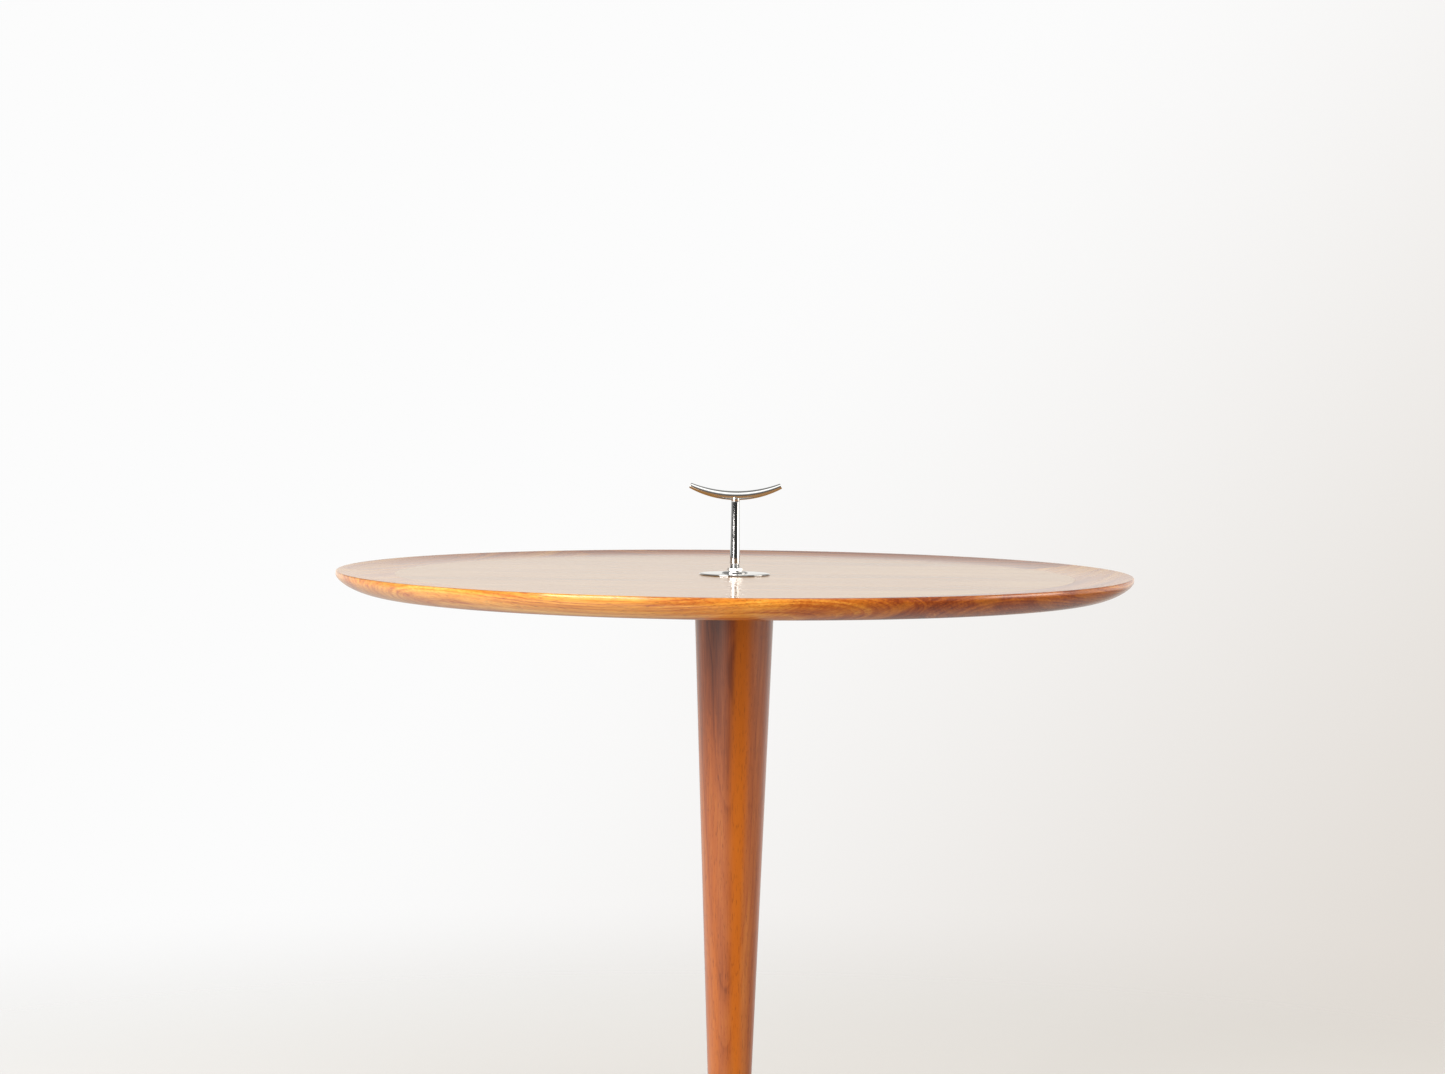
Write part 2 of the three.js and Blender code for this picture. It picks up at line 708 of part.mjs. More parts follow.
function legGeometry() {
  const steps = 12;
  const sides = 12;
  const rings = [];
  for (let i = 0; i <= steps; i += 1) {
    const share = i / steps;
    const middle = legLine.getPoint(share);
    const along = legLine.getTangent(share);
    const half = {
      up: THREE.MathUtils.lerp(legRoot.height, legFoot.height, share) / 2,
      side: THREE.MathUtils.lerp(legRoot.width, legFoot.width, share) / 2,
    };
    const section = [];
    for (let k = 0; k < sides; k += 1) {
      const around = (2 * Math.PI * k) / sides + Math.PI / sides;
      const side = Math.sign(Math.cos(around)) * Math.abs(Math.cos(around)) ** 0.5 * half.side;
      const up = Math.sign(Math.sin(around)) * Math.abs(Math.sin(around)) ** 0.5 * half.up;
      section.push([middle.x - along.z * up, side, middle.z + along.x * up]);
    }
    rings.push(section);
  }
  const beam = loft(rings, fan(sides));
  const belowFoot = block([0, legReach * 2], [-hubRadius, hubRadius], [-hubRadius, glideHeight + glueGap]);
  const body = cut(beam, rod(hubRadius + glueGap, 0, crest, discSides), belowFoot);
  const tongue = block(
    [tenonInner + glueGap, hubRadius + 6],
    [-tenon.thick / 2, tenon.thick / 2],
    [tenonMiddle - tenon.tall / 2, tenonMiddle + tenon.tall / 2],
  );
  return cut(
    join(body, tongue),
    rod(dowelRadius + boreGap, 0, dowelTop + glueGap).translate(dowelPlace, 0, 0),
    glide(boreGap).translate(legReach, 0, 0),
  );
}

// A nailed glide, or with extra the hole for its nail.
function glide(extra = 0) {
  const nail = { radius: 1.5 + extra, top: glideHeight + 16 + extra };
  const cap = extra > 0 ? glideHeight + glueGap : glideHeight;
  return lathe([
    [0, 0],
    [glideRadius - 2, 0],
    [glideRadius, 2],
    [glideRadius, cap - 1],
    [glideRadius - 1, cap],
    [nail.radius, cap],
    [nail.radius, nail.top],
    [0, nail.top],
  ], shaftSides);
}

const mortises = [];
const legTurns = [];
for (let i = 0; i < legCount; i += 1) {
  const angle = radians(firstLegAngle + (360 / legCount) * i);
  legTurns.push(angle);
  const mortise = block(
    [tenonInner, hubRadius + 5],
    [-tenon.thick / 2 - glueGap, tenon.thick / 2 + glueGap],
    [tenonMiddle - tenon.tall / 2 - glueGap, tenonMiddle + tenon.tall / 2 + glueGap],
  );
  const dowelHole = rod(dowelRadius + boreGap, hubBottom - 1, dowelTop + glueGap);
  mortises.push(mortise.rotateZ(angle), dowelHole.translate(dowelPlace, 0, 0).rotateZ(angle));
}
piece("hub", cut(lathe(hubOutline, discSides), ...mortises), finishes.walnut);

legTurns.forEach((angle, i) => {
  const corner = new THREE.Group();
  corner.rotation.z = angle;
  table.add(corner);
  piece(`leg_${i + 1}`, legGeometry(), finishes.walnut, corner);
  const dowel = rod(dowelRadius, hubBottom, dowelTop).translate(dowelPlace, 0, 0);
  piece(`leg_dowel_${i + 1}`, dowel, finishes.beech, corner);
  piece(`glide_${i + 1}`, glide().translate(legReach, 0, 0), finishes.nylon, corner);
});

// ---- Bolt that pulls the column down into the hub ----

const baseWasherThickness = 2;
const baseNutHeight = 6.5;
const baseNutFlats = 13;
const baseWasherRadius = 15;
const boltPastNut = 3;
const baseWasherBottom = hubBottom - glueGap - baseWasherThickness;
const baseNutBottom = baseWasherBottom - glueGap - baseNutHeight;
const columnBolt = rod(boltRadius, baseNutBottom - boltPastNut, hubBottom + boltEmbed);
piece("column_bolt", columnBolt, finishes.zincSteel);
const baseWasherTop = baseWasherBottom + baseWasherThickness;
const baseWasher = ring(boltRadius + boreGap, baseWasherRadius, baseWasherBottom, baseWasherTop);
piece("base_washer", baseWasher, finishes.zincSteel);
const baseNut = hexNut(baseNutFlats, boltRadius + boreGap, baseNutBottom, baseNutHeight);
piece("base_nut", baseNut, finishes.zincSteel);

export default table;
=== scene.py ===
import json
import math

import bmesh
import bpy
from mathutils import Matrix, Vector


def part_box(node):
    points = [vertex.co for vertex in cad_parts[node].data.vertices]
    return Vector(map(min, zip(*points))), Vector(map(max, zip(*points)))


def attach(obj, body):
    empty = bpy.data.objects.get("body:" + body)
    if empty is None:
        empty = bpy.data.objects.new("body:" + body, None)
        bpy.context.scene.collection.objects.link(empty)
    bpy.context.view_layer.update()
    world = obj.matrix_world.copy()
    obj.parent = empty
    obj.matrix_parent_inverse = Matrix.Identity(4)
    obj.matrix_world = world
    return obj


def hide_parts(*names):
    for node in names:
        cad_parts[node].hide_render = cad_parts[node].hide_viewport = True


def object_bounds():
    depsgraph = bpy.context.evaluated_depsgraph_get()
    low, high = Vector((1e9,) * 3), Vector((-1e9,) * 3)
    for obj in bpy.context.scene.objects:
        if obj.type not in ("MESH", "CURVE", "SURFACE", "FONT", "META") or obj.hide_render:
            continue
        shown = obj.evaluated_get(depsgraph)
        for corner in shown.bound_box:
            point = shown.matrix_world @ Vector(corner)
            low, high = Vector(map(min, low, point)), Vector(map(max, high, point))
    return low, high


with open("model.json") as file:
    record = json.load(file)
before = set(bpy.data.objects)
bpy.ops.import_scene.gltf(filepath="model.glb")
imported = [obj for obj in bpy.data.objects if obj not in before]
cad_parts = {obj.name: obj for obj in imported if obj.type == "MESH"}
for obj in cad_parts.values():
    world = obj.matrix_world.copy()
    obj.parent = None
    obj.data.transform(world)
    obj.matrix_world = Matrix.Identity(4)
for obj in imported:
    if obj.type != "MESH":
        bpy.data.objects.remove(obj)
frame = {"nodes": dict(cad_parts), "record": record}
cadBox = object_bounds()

# Tilt top table in walnut with a polished turning handle. Metres, +Z up, the front towards -Y.
mm = 0.001
touching = 1e-7  # points nearer than this are one point
nodes = frame["nodes"]
bpy.context.scene.view_settings.view_transform = "Standard"


# Small helpers.

def toLinear(code):
    channels = [int(code[i:i + 2], 16) / 255 for i in (1, 3, 5)]
    return [c / 12.92 if c <= 0.04045 else ((c + 0.055) / 1.055) ** 2.4 for c in channels] + [1.0]


# Adds one node to a tree, with its settings and with a value or a link for each named input.
def addNode(tree, kind, settings=None, inputs=None):
    node = tree.nodes.new(kind)
    for key, value in (settings or {}).items():
        setattr(node, key, value)
    for key, value in (inputs or {}).items():
        if isinstance(value, bpy.types.NodeSocket):
            tree.links.new(value, node.inputs[key])
        else:
            node.inputs[key].default_value = value
    return node


# Lowest and highest radius about the column's axis, and lowest and highest z, of a CAD node.
def turnedSize(node):
    points = [v.co for v in nodes[node].data.vertices]
    radii = [math.hypot(p.x, p.y) for p in points]
    heights = [p.z for p in points]
    return min(radii), max(radii), min(heights), max(heights)


# Largest radius of a CAD node's points within 1 mm of a height.
def radiusAt(node, height):
    near = [v.co for v in nodes[node].data.vertices if abs(v.co.z - height) < 1 * mm]
    return max(math.hypot(p.x, p.y) for p in near)


# An outline with its corners rounded. Each corner is (radius, z, rounding). A rounding stops just
# short of the middle of a side.
def softOutline(corners, closed=False, steps=6, longest=0.49):
    points = []
    last = len(corners) - 1
    for i, (r, z, rounding) in enumerate(corners):
        if rounding <= 0 or (not closed and i in (0, last)):
            points.append((r, z))
            continue
        here = Vector((r, z))
        before = Vector(corners[i - 1][:2]) - here
        after = Vector(corners[(i + 1) % len(corners)][:2]) - here
        reach = min(rounding, before.length * longest, after.length * longest)
        start = here + before.normalized() * reach
        end = here + after.normalized() * reach
        for k in range(steps + 1):
            t = k / steps
            point = start * (1 - t) ** 2 + here * 2 * t * (1 - t) + end * t ** 2
            points.append((point.x, point.y))
    return points


# Fine rings along an outline, so that the figure and the shading stay smooth.
def subdivided(outline, longest):
    points = [outline[0]]
    for (r0, z0), (r1, z1) in zip(outline, outline[1:]):
        count = max(1, math.ceil(math.hypot(r1 - r0, z1 - z0) / longest))
        points += [(r0 + (r1 - r0) * k / count, z0 + (z1 - z0) * k / count)
                   for k in range(1, count + 1)]
    return points


# Quads between successive rings of equal counts, closed round each ring.
def ringFaces(ringCount, pointCount, closed=False):
    faces = []
    for ring in range(ringCount if closed else ringCount - 1):
        a = ring * pointCount
        b = ((ring + 1) % ringCount) * pointCount
        for i in range(pointCount):
            j = (i + 1) % pointCount
            faces.append((a + i, a + j, b + j, b + i))
    return faces


# The same for a bar: its two ends are closed by flat faces.
def barFaces(ringCount, pointCount):
    last = (ringCount - 1) * pointCount
    ends = [tuple(range(pointCount)), tuple(range(last + pointCount - 1, last - 1, -1))]
    return ringFaces(ringCount, pointCount) + ends


# An outline of (radius, z) turned about Z. It starts and ends on the axis, or closes on itself.
def turned(outline, sides=96):
    onAxis = outline[0][0] < touching
    body = outline[1:-1] if onAxis else outline
    vertices = []
    for r, z in body:
        for i in range(sides):
            angle = 2 * math.pi * i / sides
            vertices.append((r * math.cos(angle), r * math.sin(angle), z))
    faces = ringFaces(len(body), sides, closed=not onAxis)
    if onAxis:
        first = len(vertices)
        vertices += [(0, 0, outline[0][1]), (0, 0, outline[-1][1])]
        final = (len(body) - 1) * sides
        for i in range(sides):
            j = (i + 1) % sides
            faces.append((first, j, i))
            faces.append((first + 1, final + i, final + j))
    return vertices, faces


# Moves a shape's points by a matrix.
def placed(shape, matrix):
    vertices, faces = shape
    return [tuple(matrix @ Vector(v)) for v in vertices], faces


# Gives each point its place in its board.
def setGrain(mesh, grain):
    layer = mesh.attributes.get("grain") or mesh.attributes.new("grain", "FLOAT_VECTOR", "POINT")
    for i, vertex in enumerate(mesh.vertices):
        layer.data[i].vector = grain(vertex.co)


# Makes the object: smooth faces with creases kept, riding on its body and standing for its CAD
# nodes. Wood has a grain, a function from a point to its place in the board, and may have a tone,
# which on the column is painted shade.
def makePiece(name, shape, material, body, stands, grain=None, crease=35, tone=None):
    mesh = bpy.data.meshes.new(name)
    mesh.from_pydata(shape[0], [], shape[1])
    work = bmesh.new()
    work.from_mesh(mesh)
    bmesh.ops.remove_doubles(work, verts=work.verts[:], dist=touching)
    bmesh.ops.recalc_face_normals(work, faces=work.faces[:])
    for face in work.faces:
        face.smooth = True
    for edge in work.edges:
        edge.smooth = edge.calc_face_angle(0) < math.radians(crease)
    work.to_mesh(mesh)
    work.free()
    if grain:
        setGrain(mesh, grain)
        shade = mesh.attributes.new("toneWithPaintedShade", "FLOAT", "POINT")
        shade.data.foreach_set("value", [tone(v.co) if tone else 0.0 for v in mesh.vertices])
    mesh.materials.append(material)
    piece = bpy.data.objects.new(name, mesh)
    bpy.context.scene.collection.objects.link(piece)
    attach(piece, body)
    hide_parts(*stands)
    return piece


# Materials.

def newMaterial(name):
    material = bpy.data.materials.new(name)
    material.use_nodes = True
    tree = material.node_tree
    return material, tree, tree.nodes["Principled BSDF"]


def setShader(shader, values):
    for key, value in values.items():
        shader.inputs[key].default_value = value


# Fills a colour ramp. A stop's colour is an sRGB code or a linear colour.
def fillRamp(ramp, stops):
    points = ramp.color_ramp.elements
    while len(points) > 1:
        points.remove(points[-1])
    for i, (place, colour) in enumerate(stops):
        point = points[0] if i == 0 else points.new(place)
        point.position = place
        point.color = toLinear(colour) if isinstance(colour, str) else colour


# What all the walnut shares. Lengths in mm, along the fibres and across them.
grainFigure = {
    "fibre": (85, 1.5), "fibreDetail": 3, "fibreRoughness": 0.6, "fibreSpread": (0.3, 0.7),
    "pores": (9, 0.9),  # drawn coarser than real pores, which are too fine to show
    "poreSpread": (0.60, 0.70), "poreDepth": 0.04 * mm, "fibreRelief": 0.35, "fibreGloss": 0.06,
    "dips": (45, 2.5), "dipDepth": 0.02 * mm,  # where the lacquer sinks over the coarse grain
    "ringUneven": 1.6, "ringUnevenScale": 0.55, "ringFadeScale": 0.9,
    # One ring, from its early wood to its late wood.
    "ring": [(0.0, "#000000"), (0.45, "#2a2a2a"), (0.86, "#c8c8c8"), (0.94, "#ffffff"),
             (1.0, "#101010")],
    "heartWander": 2, "heartEdge": (1.5, 2.3),
}


# Solid or sliced walnut under lacquer. The grain attribute is the board's own frame in metres:
# along the fibres, across the board and into it. Growth rings lie round a pith line beside the
# board, so a turned or shaped surface cuts them into stripes, flames and end-grain arcs.
def walnutMaterial(name, look):
    material, tree, shader = newMaterial(name)
    board = addNode(tree, "ShaderNodeAttribute", {"attribute_name": "grain"})
    inMm = addNode(tree, "ShaderNodeVectorMath", {"operation": "SCALE"},
                   {0: board.outputs["Vector"], "Scale": 1 / mm})

    # Noise stretched along the fibres: lengths in mm along and across, detail and roughness.
    noise = {}
    for pattern, (along, across), detail, roughness in (
            ("drift", look["driftLength"], 1, 0.5), ("broad", look["broadLength"], 2, 0.5),
            ("fibre", grainFigure["fibre"], grainFigure["fibreDetail"], grainFigure["fibreRoughness"]),
            ("pores", grainFigure["pores"], 1, 0.5), ("streak", look["streakLength"], 1, 0.5),
            ("dips", grainFigure["dips"], 2, 0.5)):
        scaled = addNode(tree, "ShaderNodeVectorMath", {"operation": "MULTIPLY"},
                         {0: inMm.outputs[0], 1: (1 / along, 1 / across, 1 / across)})
        noise[pattern] = addNode(tree, "ShaderNodeTexNoise", {},
                                 {"Vector": scaled.outputs[0], "Scale": 1, "Detail": detail,
                                  "Roughness": roughness})

    # The board bends a little, and its rings lie round the pith.
    centred = addNode(tree, "ShaderNodeVectorMath", {"operation": "SUBTRACT"},
                      {0: noise["drift"].outputs["Color"], 1: (0.5, 0.5, 0.5)})
    swing = addNode(tree, "ShaderNodeVectorMath", {"operation": "MULTIPLY"},
                    {0: centred.outputs[0], 1: (0, look["drift"], look["drift"])})
    bent = addNode(tree, "ShaderNodeVectorMath", {"operation": "ADD"},
                   {0: inMm.outputs[0], 1: swing.outputs[0]})
    fromPith = addNode(tree, "ShaderNodeVectorMath", {"operation": "SUBTRACT"},
                       {0: bent.outputs[0], 1: (0, *look["pith"])})
    crossCut = addNode(tree, "ShaderNodeVectorMath", {"operation": "MULTIPLY"},
                       {0: fromPith.outputs[0], 1: (0, 1, 1)})
    radius = addNode(tree, "ShaderNodeVectorMath", {"operation": "LENGTH"}, {0: crossCut.outputs[0]})
    ringCount = addNode(tree, "ShaderNodeMath", {"operation": "DIVIDE"},
                        {0: radius.outputs["Value"], 1: look["ringWidth"]})
    uneven = addNode(tree, "ShaderNodeTexNoise", {"noise_dimensions": "1D"},
                     {"W": ringCount.outputs[0], "Scale": grainFigure["ringUnevenScale"], "Detail": 2})
    shifted = addNode(tree, "ShaderNodeMath", {"operation": "MULTIPLY_ADD"},
                      {0: uneven.outputs[0], 1: grainFigure["ringUneven"], 2: ringCount.outputs[0]})
    band = addNode(tree, "ShaderNodeMath", {"operation": "FRACT"}, {0: shifted.outputs[0]})
    lateWood = addNode(tree, "ShaderNodeValToRGB", {}, {0: band.outputs[0]})
    fillRamp(lateWood, grainFigure["ring"])
    fade = addNode(tree, "ShaderNodeTexNoise", {"noise_dimensions": "1D"},
                   {"W": ringCount.outputs[0], "Scale": grainFigure["ringFadeScale"], "Detail": 1})

    # The tone adds up the broad figure, the fibres, the fading of the rings, their dark late wood
    # and the piece's own tone: the board's tone on the rim, painted shade on the column. The noises
    # swing about a half.
    toneWithPaintedShade = addNode(tree, "ShaderNodeAttribute", {"attribute_name": "toneWithPaintedShade"})
    swings = look["broadWeight"] + look["fibreWeight"] + look["fadeWeight"]
    tone = look["lightness"] - swings / 2
    for pattern, weight in ((noise["broad"].outputs[0], look["broadWeight"]),
                            (noise["fibre"].outputs[0], look["fibreWeight"]),
                            (fade.outputs[0], look["fadeWeight"]),
                            (lateWood.outputs[0], -look["ringWeight"]),
                            (toneWithPaintedShade.outputs["Fac"], 1)):
        step = addNode(tree, "ShaderNodeMath", {"operation": "MULTIPLY_ADD"},
                       {0: pattern, 1: weight, 2: tone})
        tone = step.outputs[0]
    wood = addNode(tree, "ShaderNodeValToRGB", {}, {0: tone})
    fillRamp(wood, look["palette"])

    # Loose amber streaks, and one along the heart of the board with edges that wander.
    streakFrom, streakTo = look["streakSpread"]
    streak = addNode(tree, "ShaderNodeMapRange", {"interpolation_type": "SMOOTHSTEP"},
                     {0: noise["streak"].outputs[0], 1: streakFrom, 2: streakTo, 3: 0,
                      4: look["streakWeight"]})
    across = addNode(tree, "ShaderNodeSeparateXYZ", {}, {0: bent.outputs[0]})
    fromHeart = addNode(tree, "ShaderNodeMath", {"operation": "SUBTRACT"},
                        {0: across.outputs["Y"], 1: look["heartAt"]})
    offHeart = addNode(tree, "ShaderNodeMath", {"operation": "ABSOLUTE"}, {0: fromHeart.outputs[0]})
    wander = addNode(tree, "ShaderNodeMath", {"operation": "MULTIPLY_ADD"},
                     {0: noise["broad"].outputs[0], 1: look["heartHalf"] * grainFigure["heartWander"],
                      2: offHeart.outputs[0]})
    heartEdge = [edge * look["heartHalf"] for edge in grainFigure["heartEdge"]]
    inHeart = addNode(tree, "ShaderNodeMapRange", {"interpolation_type": "SMOOTHSTEP"},
                      {0: wander.outputs[0], 1: heartEdge[0], 2: heartEdge[1],
                       3: look["heartWeight"], 4: 0})
    poreFrom, poreTo = grainFigure["poreSpread"]
    inPore = addNode(tree, "ShaderNodeMapRange", {},
                     {0: noise["pores"].outputs[0], 1: poreFrom, 2: poreTo, 3: 0,
                      4: look["poreWeight"]})
    colour = wood.outputs[0]
    for share, tint in ((streak, "streakColour"), (inHeart, "streakColour"), (inPore, "poreColour")):
        mixed = addNode(tree, "ShaderNodeMix", {"data_type": "RGBA", "blend_type": "MIX"},
                        {0: share.outputs[0], 6: colour, 7: toLinear(look[tint])})
        colour = mixed.outputs[2]
    tree.links.new(colour, shader.inputs["Base Color"])

    fibreFrom, fibreTo = grainFigure["fibreSpread"]
    gloss = addNode(tree, "ShaderNodeMapRange", {},
                    {0: noise["fibre"].outputs[0], 1: fibreFrom, 2: fibreTo,
                     3: look["roughness"] + grainFigure["fibreGloss"],
                     4: look["roughness"] - grainFigure["fibreGloss"]})
    tree.links.new(gloss.outputs[0], shader.inputs["Roughness"])
    fibreRelief = addNode(tree, "ShaderNodeMath", {"operation": "MULTIPLY"},
                          {0: noise["fibre"].outputs[0], 1: grainFigure["fibreRelief"]})
    relief = addNode(tree, "ShaderNodeMath", {"operation": "SUBTRACT"},
                     {0: fibreRelief.outputs[0], 1: inPore.outputs[0]})
    # The wood's own relief shapes its body. The lacquer's dips draw faint streaks in what it mirrors.
    for height, strength, depth, socket in (
            (relief, look["bump"], grainFigure["poreDepth"], "Normal"),
            (noise["dips"], look["sink"], grainFigure["dipDepth"], "Coat Normal")):
        bump = addNode(tree, "ShaderNodeBump", {},
                       {"Strength": strength, "Distance": depth, "Height": height.outputs[0]})
        tree.links.new(bump.outputs[0], shader.inputs[socket])
    setShader(shader, {"IOR": 1.5, "Specular IOR Level": 0.1, "Coat Weight": look["coat"],
                       "Coat Roughness": look["coatRoughness"], "Coat IOR": 1.5})
    return material


walnutLook = {
    "driftLength": (420, 90), "drift": 26, "pith": (12, -46), "ringWidth": 5.2,
    "broadLength": (420, 26), "broadWeight": 0.8, "fibreWeight": 0.5, "fadeWeight": 0.4,
    "ringWeight": 0.16, "lightness": 0.58,
    "streakLength": (500, 20), "streakSpread": (0.5, 0.68), "streakWeight": 0.5,
    "streakColour": "#cb6c10", "heartAt": 8, "heartHalf": 7, "heartWeight": 0.0,
    "poreColour": "#5e2a0c", "poreWeight": 0.5, "roughness": 0.42, "bump": 0.5, "sink": 0.2,
}

# Turned walnut, oiled and lacquered satin: red-brown with an orange streak, on the column darkened
# towards its top left by painted shade carried in its tone.
columnWalnut = walnutMaterial("satin_lacquered_walnut_turned", {
    **walnutLook, "heartWeight": 0.75, "streakColour": "#ae5b0b", "coat": 1.0, "coatRoughness": 0.24,
    "palette": [(0.0, "#4b1d0a"), (0.3, "#7c3a12"), (0.55, "#9a501e"), (0.8, "#ac6426"),
                (1.0, "#b87a3c")],
})

# Solid walnut edge band: golden brown, fine straight fibres along each board, arcs near its ends.
rimWalnut = walnutMaterial("satin_lacquered_walnut_edge_band", {
    **walnutLook, "pith": (10, -70), "ringWidth": 3.6, "drift": 14, "broadLength": (420, 18),
    "broadWeight": 0.6,
    "palette": [(0.0, "#4a1a06"), (0.3, "#8a3c0e"), (0.5, "#b05e1a"), (0.75, "#d8943a"),
                (1.0, "#f4c068")],
    "streakColour": "#d4821a", "streakWeight": 0.3, "lightness": 0.6, "coat": 1.0,
    "coatRoughness": 0.17,
})

# Sliced walnut veneer under a full gloss lacquer: a calm figure below a clear, mirror-like skin.
veneerWalnut = walnutMaterial("gloss_lacquered_walnut_veneer", {
    **walnutLook, "pith": (30, -160), "ringWidth": 8, "driftLength": (420, 150), "drift": 60,
    "broadLength": (420, 60), "broadWeight": 0.9, "fibreWeight": 0.9,
    "palette": [(0.0, "#7a4416"), (0.3, "#a36a28"), (0.55, "#c28a42"), (0.8, "#d2a05a"),
                (1.0, "#e0b87a")],
    "streakWeight": 0.1, "lightness": 0.6, "poreWeight": 0.3, "roughness": 0.35, "bump": 0.25,
    "sink": 0.35, "coat": 1.0, "coatRoughness": 0.17,
})

# Plain backing veneer with a thin coat: flatter, duller and a little greyer than the face.
backingWalnut = walnutMaterial("thin_lacquered_backing_veneer", {
    **walnutLook, "pith": (60, -220), "ringWidth": 9, "driftLength": (420, 160), "drift": 50,
    "broadLength": (420, 50),
    "palette": [(0.0, "#54331f"), (0.3, "#7b5032"), (0.55, "#94653f"), (0.8, "#a97a51"),
                (1.0, "#ba9067")],
    "streakWeight": 0.1, "roughness": 0.55, "coat": 0.15, "coatRoughness": 0.4,
})


# Metal, moulded or planed parts: a colour and a gloss that vary in clouds, and a fine grit.
def grainedMaterial(name, look):
    material, tree, shader = newMaterial(name)
    place = addNode(tree, "ShaderNodeTexCoord")
    cloud = addNode(tree, "ShaderNodeTexNoise", {},
                    {"Vector": place.outputs["Object"], "Scale": 1 / look["cloud"], "Detail": 3})
    grit = addNode(tree, "ShaderNodeTexNoise", {},
                   {"Vector": place.outputs["Object"], "Scale": 1 / look["grit"], "Detail": 2})
    colour = addNode(tree, "ShaderNodeMix", {"data_type": "RGBA"},
                     {0: cloud.outputs[0], 6: toLinear(look["colours"][0]),
                      7: toLinear(look["colours"][1])})
    tree.links.new(colour.outputs[2], shader.inputs["Base Color"])
    rough = addNode(tree, "ShaderNodeMapRange", {},
                    {0: cloud.outputs[0], 1: look["spread"][0], 2: look["spread"][1],
                     3: look["roughness"][0], 4: look["roughness"][1]})
    tree.links.new(rough.outputs[0], shader.inputs["Roughness"])
    bump = addNode(tree, "ShaderNodeBump", {},
                   {"Strength": look["bump"], "Distance": look["depth"], "Height": grit.outputs[0]})
    tree.links.new(bump.outputs[0], shader.inputs["Normal"])
    setShader(shader, look["shader"])
    return material


grainedLook = {"spread": (0.3, 0.7), "depth": 0.05 * mm}

# Chrome plate over polished steel: a mirror with faint wiping marks and cloudy finger prints.
chrome = grainedMaterial("polished_chrome_plate", {
    "colours": ("#cdcecf", "#c0c1c2"), "cloud": 14 * mm, "spread": (0.45, 0.75),
    "roughness": (0.035, 0.11), "grit": 0.6 * mm, "bump": 0.004, "depth": 0.01 * mm,
    "shader": {"Metallic": 1.0}})
# Bright zinc plate on steel: bluish grey, softly mirror-like with cloudy spangle.
zinc = grainedMaterial("bright_zinc_plate", {
    **grainedLook, "colours": ("#c9cbcc", "#a3a7a8"), "cloud": 5 * mm, "roughness": (0.24, 0.4),
    "grit": 0.5 * mm, "bump": 0.15, "shader": {"Metallic": 1.0}})
# Powder coat baked on steel plate: near black, satin, with a fine orange peel.
powderCoat = grainedMaterial("black_powder_coat", {
    **grainedLook, "colours": ("#1b1b1d", "#242426"), "cloud": 20 * mm, "roughness": (0.42, 0.55),
    "grit": 0.8 * mm, "bump": 0.5, "shader": {"IOR": 1.5}})
# Moulded rubber: matt black with a dusty bloom.
rubber = grainedMaterial("moulded_rubber", {
    **grainedLook, "colours": ("#161616", "#222120"), "cloud": 6 * mm, "roughness": (0.7, 0.85),
    "grit": 0.4 * mm, "bump": 0.4, "shader": {"IOR": 1.52}})
# Natural nylon: milky and slightly waxy, with light passing into it.
nylon = grainedMaterial("moulded_nylon", {
    **grainedLook, "colours": ("#dcd8cc", "#cfcabd"), "cloud": 9 * mm, "roughness": (0.38, 0.5),
    "grit": 0.7 * mm, "bump": 0.2,
    "shader": {"IOR": 1.53, "Subsurface Weight": 0.15, "Subsurface Scale": 1.5 * mm}})
# Planed beech: pale, with short darker flecks.
beech = grainedMaterial("planed_beech", {
    **grainedLook, "colours": ("#d9b489", "#c49a6c"), "cloud": 3 * mm, "roughness": (0.55, 0.68),
    "grit": 0.6 * mm, "bump": 0.4, "shader": {"IOR": 1.5}})

plywoodLook = {
    "plyThickness": 1.4 * mm, "fleck": 2 * mm, "fleckWeight": 0.3, "bump": 0.4, "depth": 0.05 * mm,
    # Two plies: one along the grain, one across it.
    "plies": [(0.0, "#d8b88a"), (0.47, "#cfab79"), (0.5, "#a47d50"), (0.97, "#b18a5c"),
              (1.0, "#8c683f")],
    "shader": {"Roughness": 0.7, "IOR": 1.5},
}


# Sanded plywood: plies of alternating grain show as darker and lighter lines on its edges.
def plywoodMaterial(name, look):
    material, tree, shader = newMaterial(name)
    place = addNode(tree, "ShaderNodeTexCoord")
    parts = addNode(tree, "ShaderNodeSeparateXYZ", {}, {0: place.outputs["Object"]})
    level = addNode(tree, "ShaderNodeMath", {"operation": "DIVIDE"},
                    {0: parts.outputs["Z"], 1: 2 * look["plyThickness"]})
    share = addNode(tree, "ShaderNodeMath", {"operation": "FRACT"}, {0: level.outputs[0]})
    ply = addNode(tree, "ShaderNodeValToRGB", {}, {0: share.outputs[0]})
    fillRamp(ply, look["plies"])
    fleck = addNode(tree, "ShaderNodeTexNoise", {},
                    {"Vector": place.outputs["Object"], "Scale": 1 / look["fleck"], "Detail": 3})
    mixed = addNode(tree, "ShaderNodeMix", {"data_type": "RGBA", "blend_type": "MULTIPLY"},
                    {0: look["fleckWeight"], 6: ply.outputs[0], 7: fleck.outputs["Color"]})
    tree.links.new(mixed.outputs[2], shader.inputs["Base Color"])
    bump = addNode(tree, "ShaderNodeBump", {},
                   {"Strength": look["bump"], "Distance": look["depth"], "Height": fleck.outputs[0]})
    tree.links.new(bump.outputs[0], shader.inputs["Normal"])
    setShader(shader, look["shader"])
    return material


plywood = plywoodMaterial("sanded_plywood", plywoodLook)
print("materials made")


# Top: edge band, veneers.

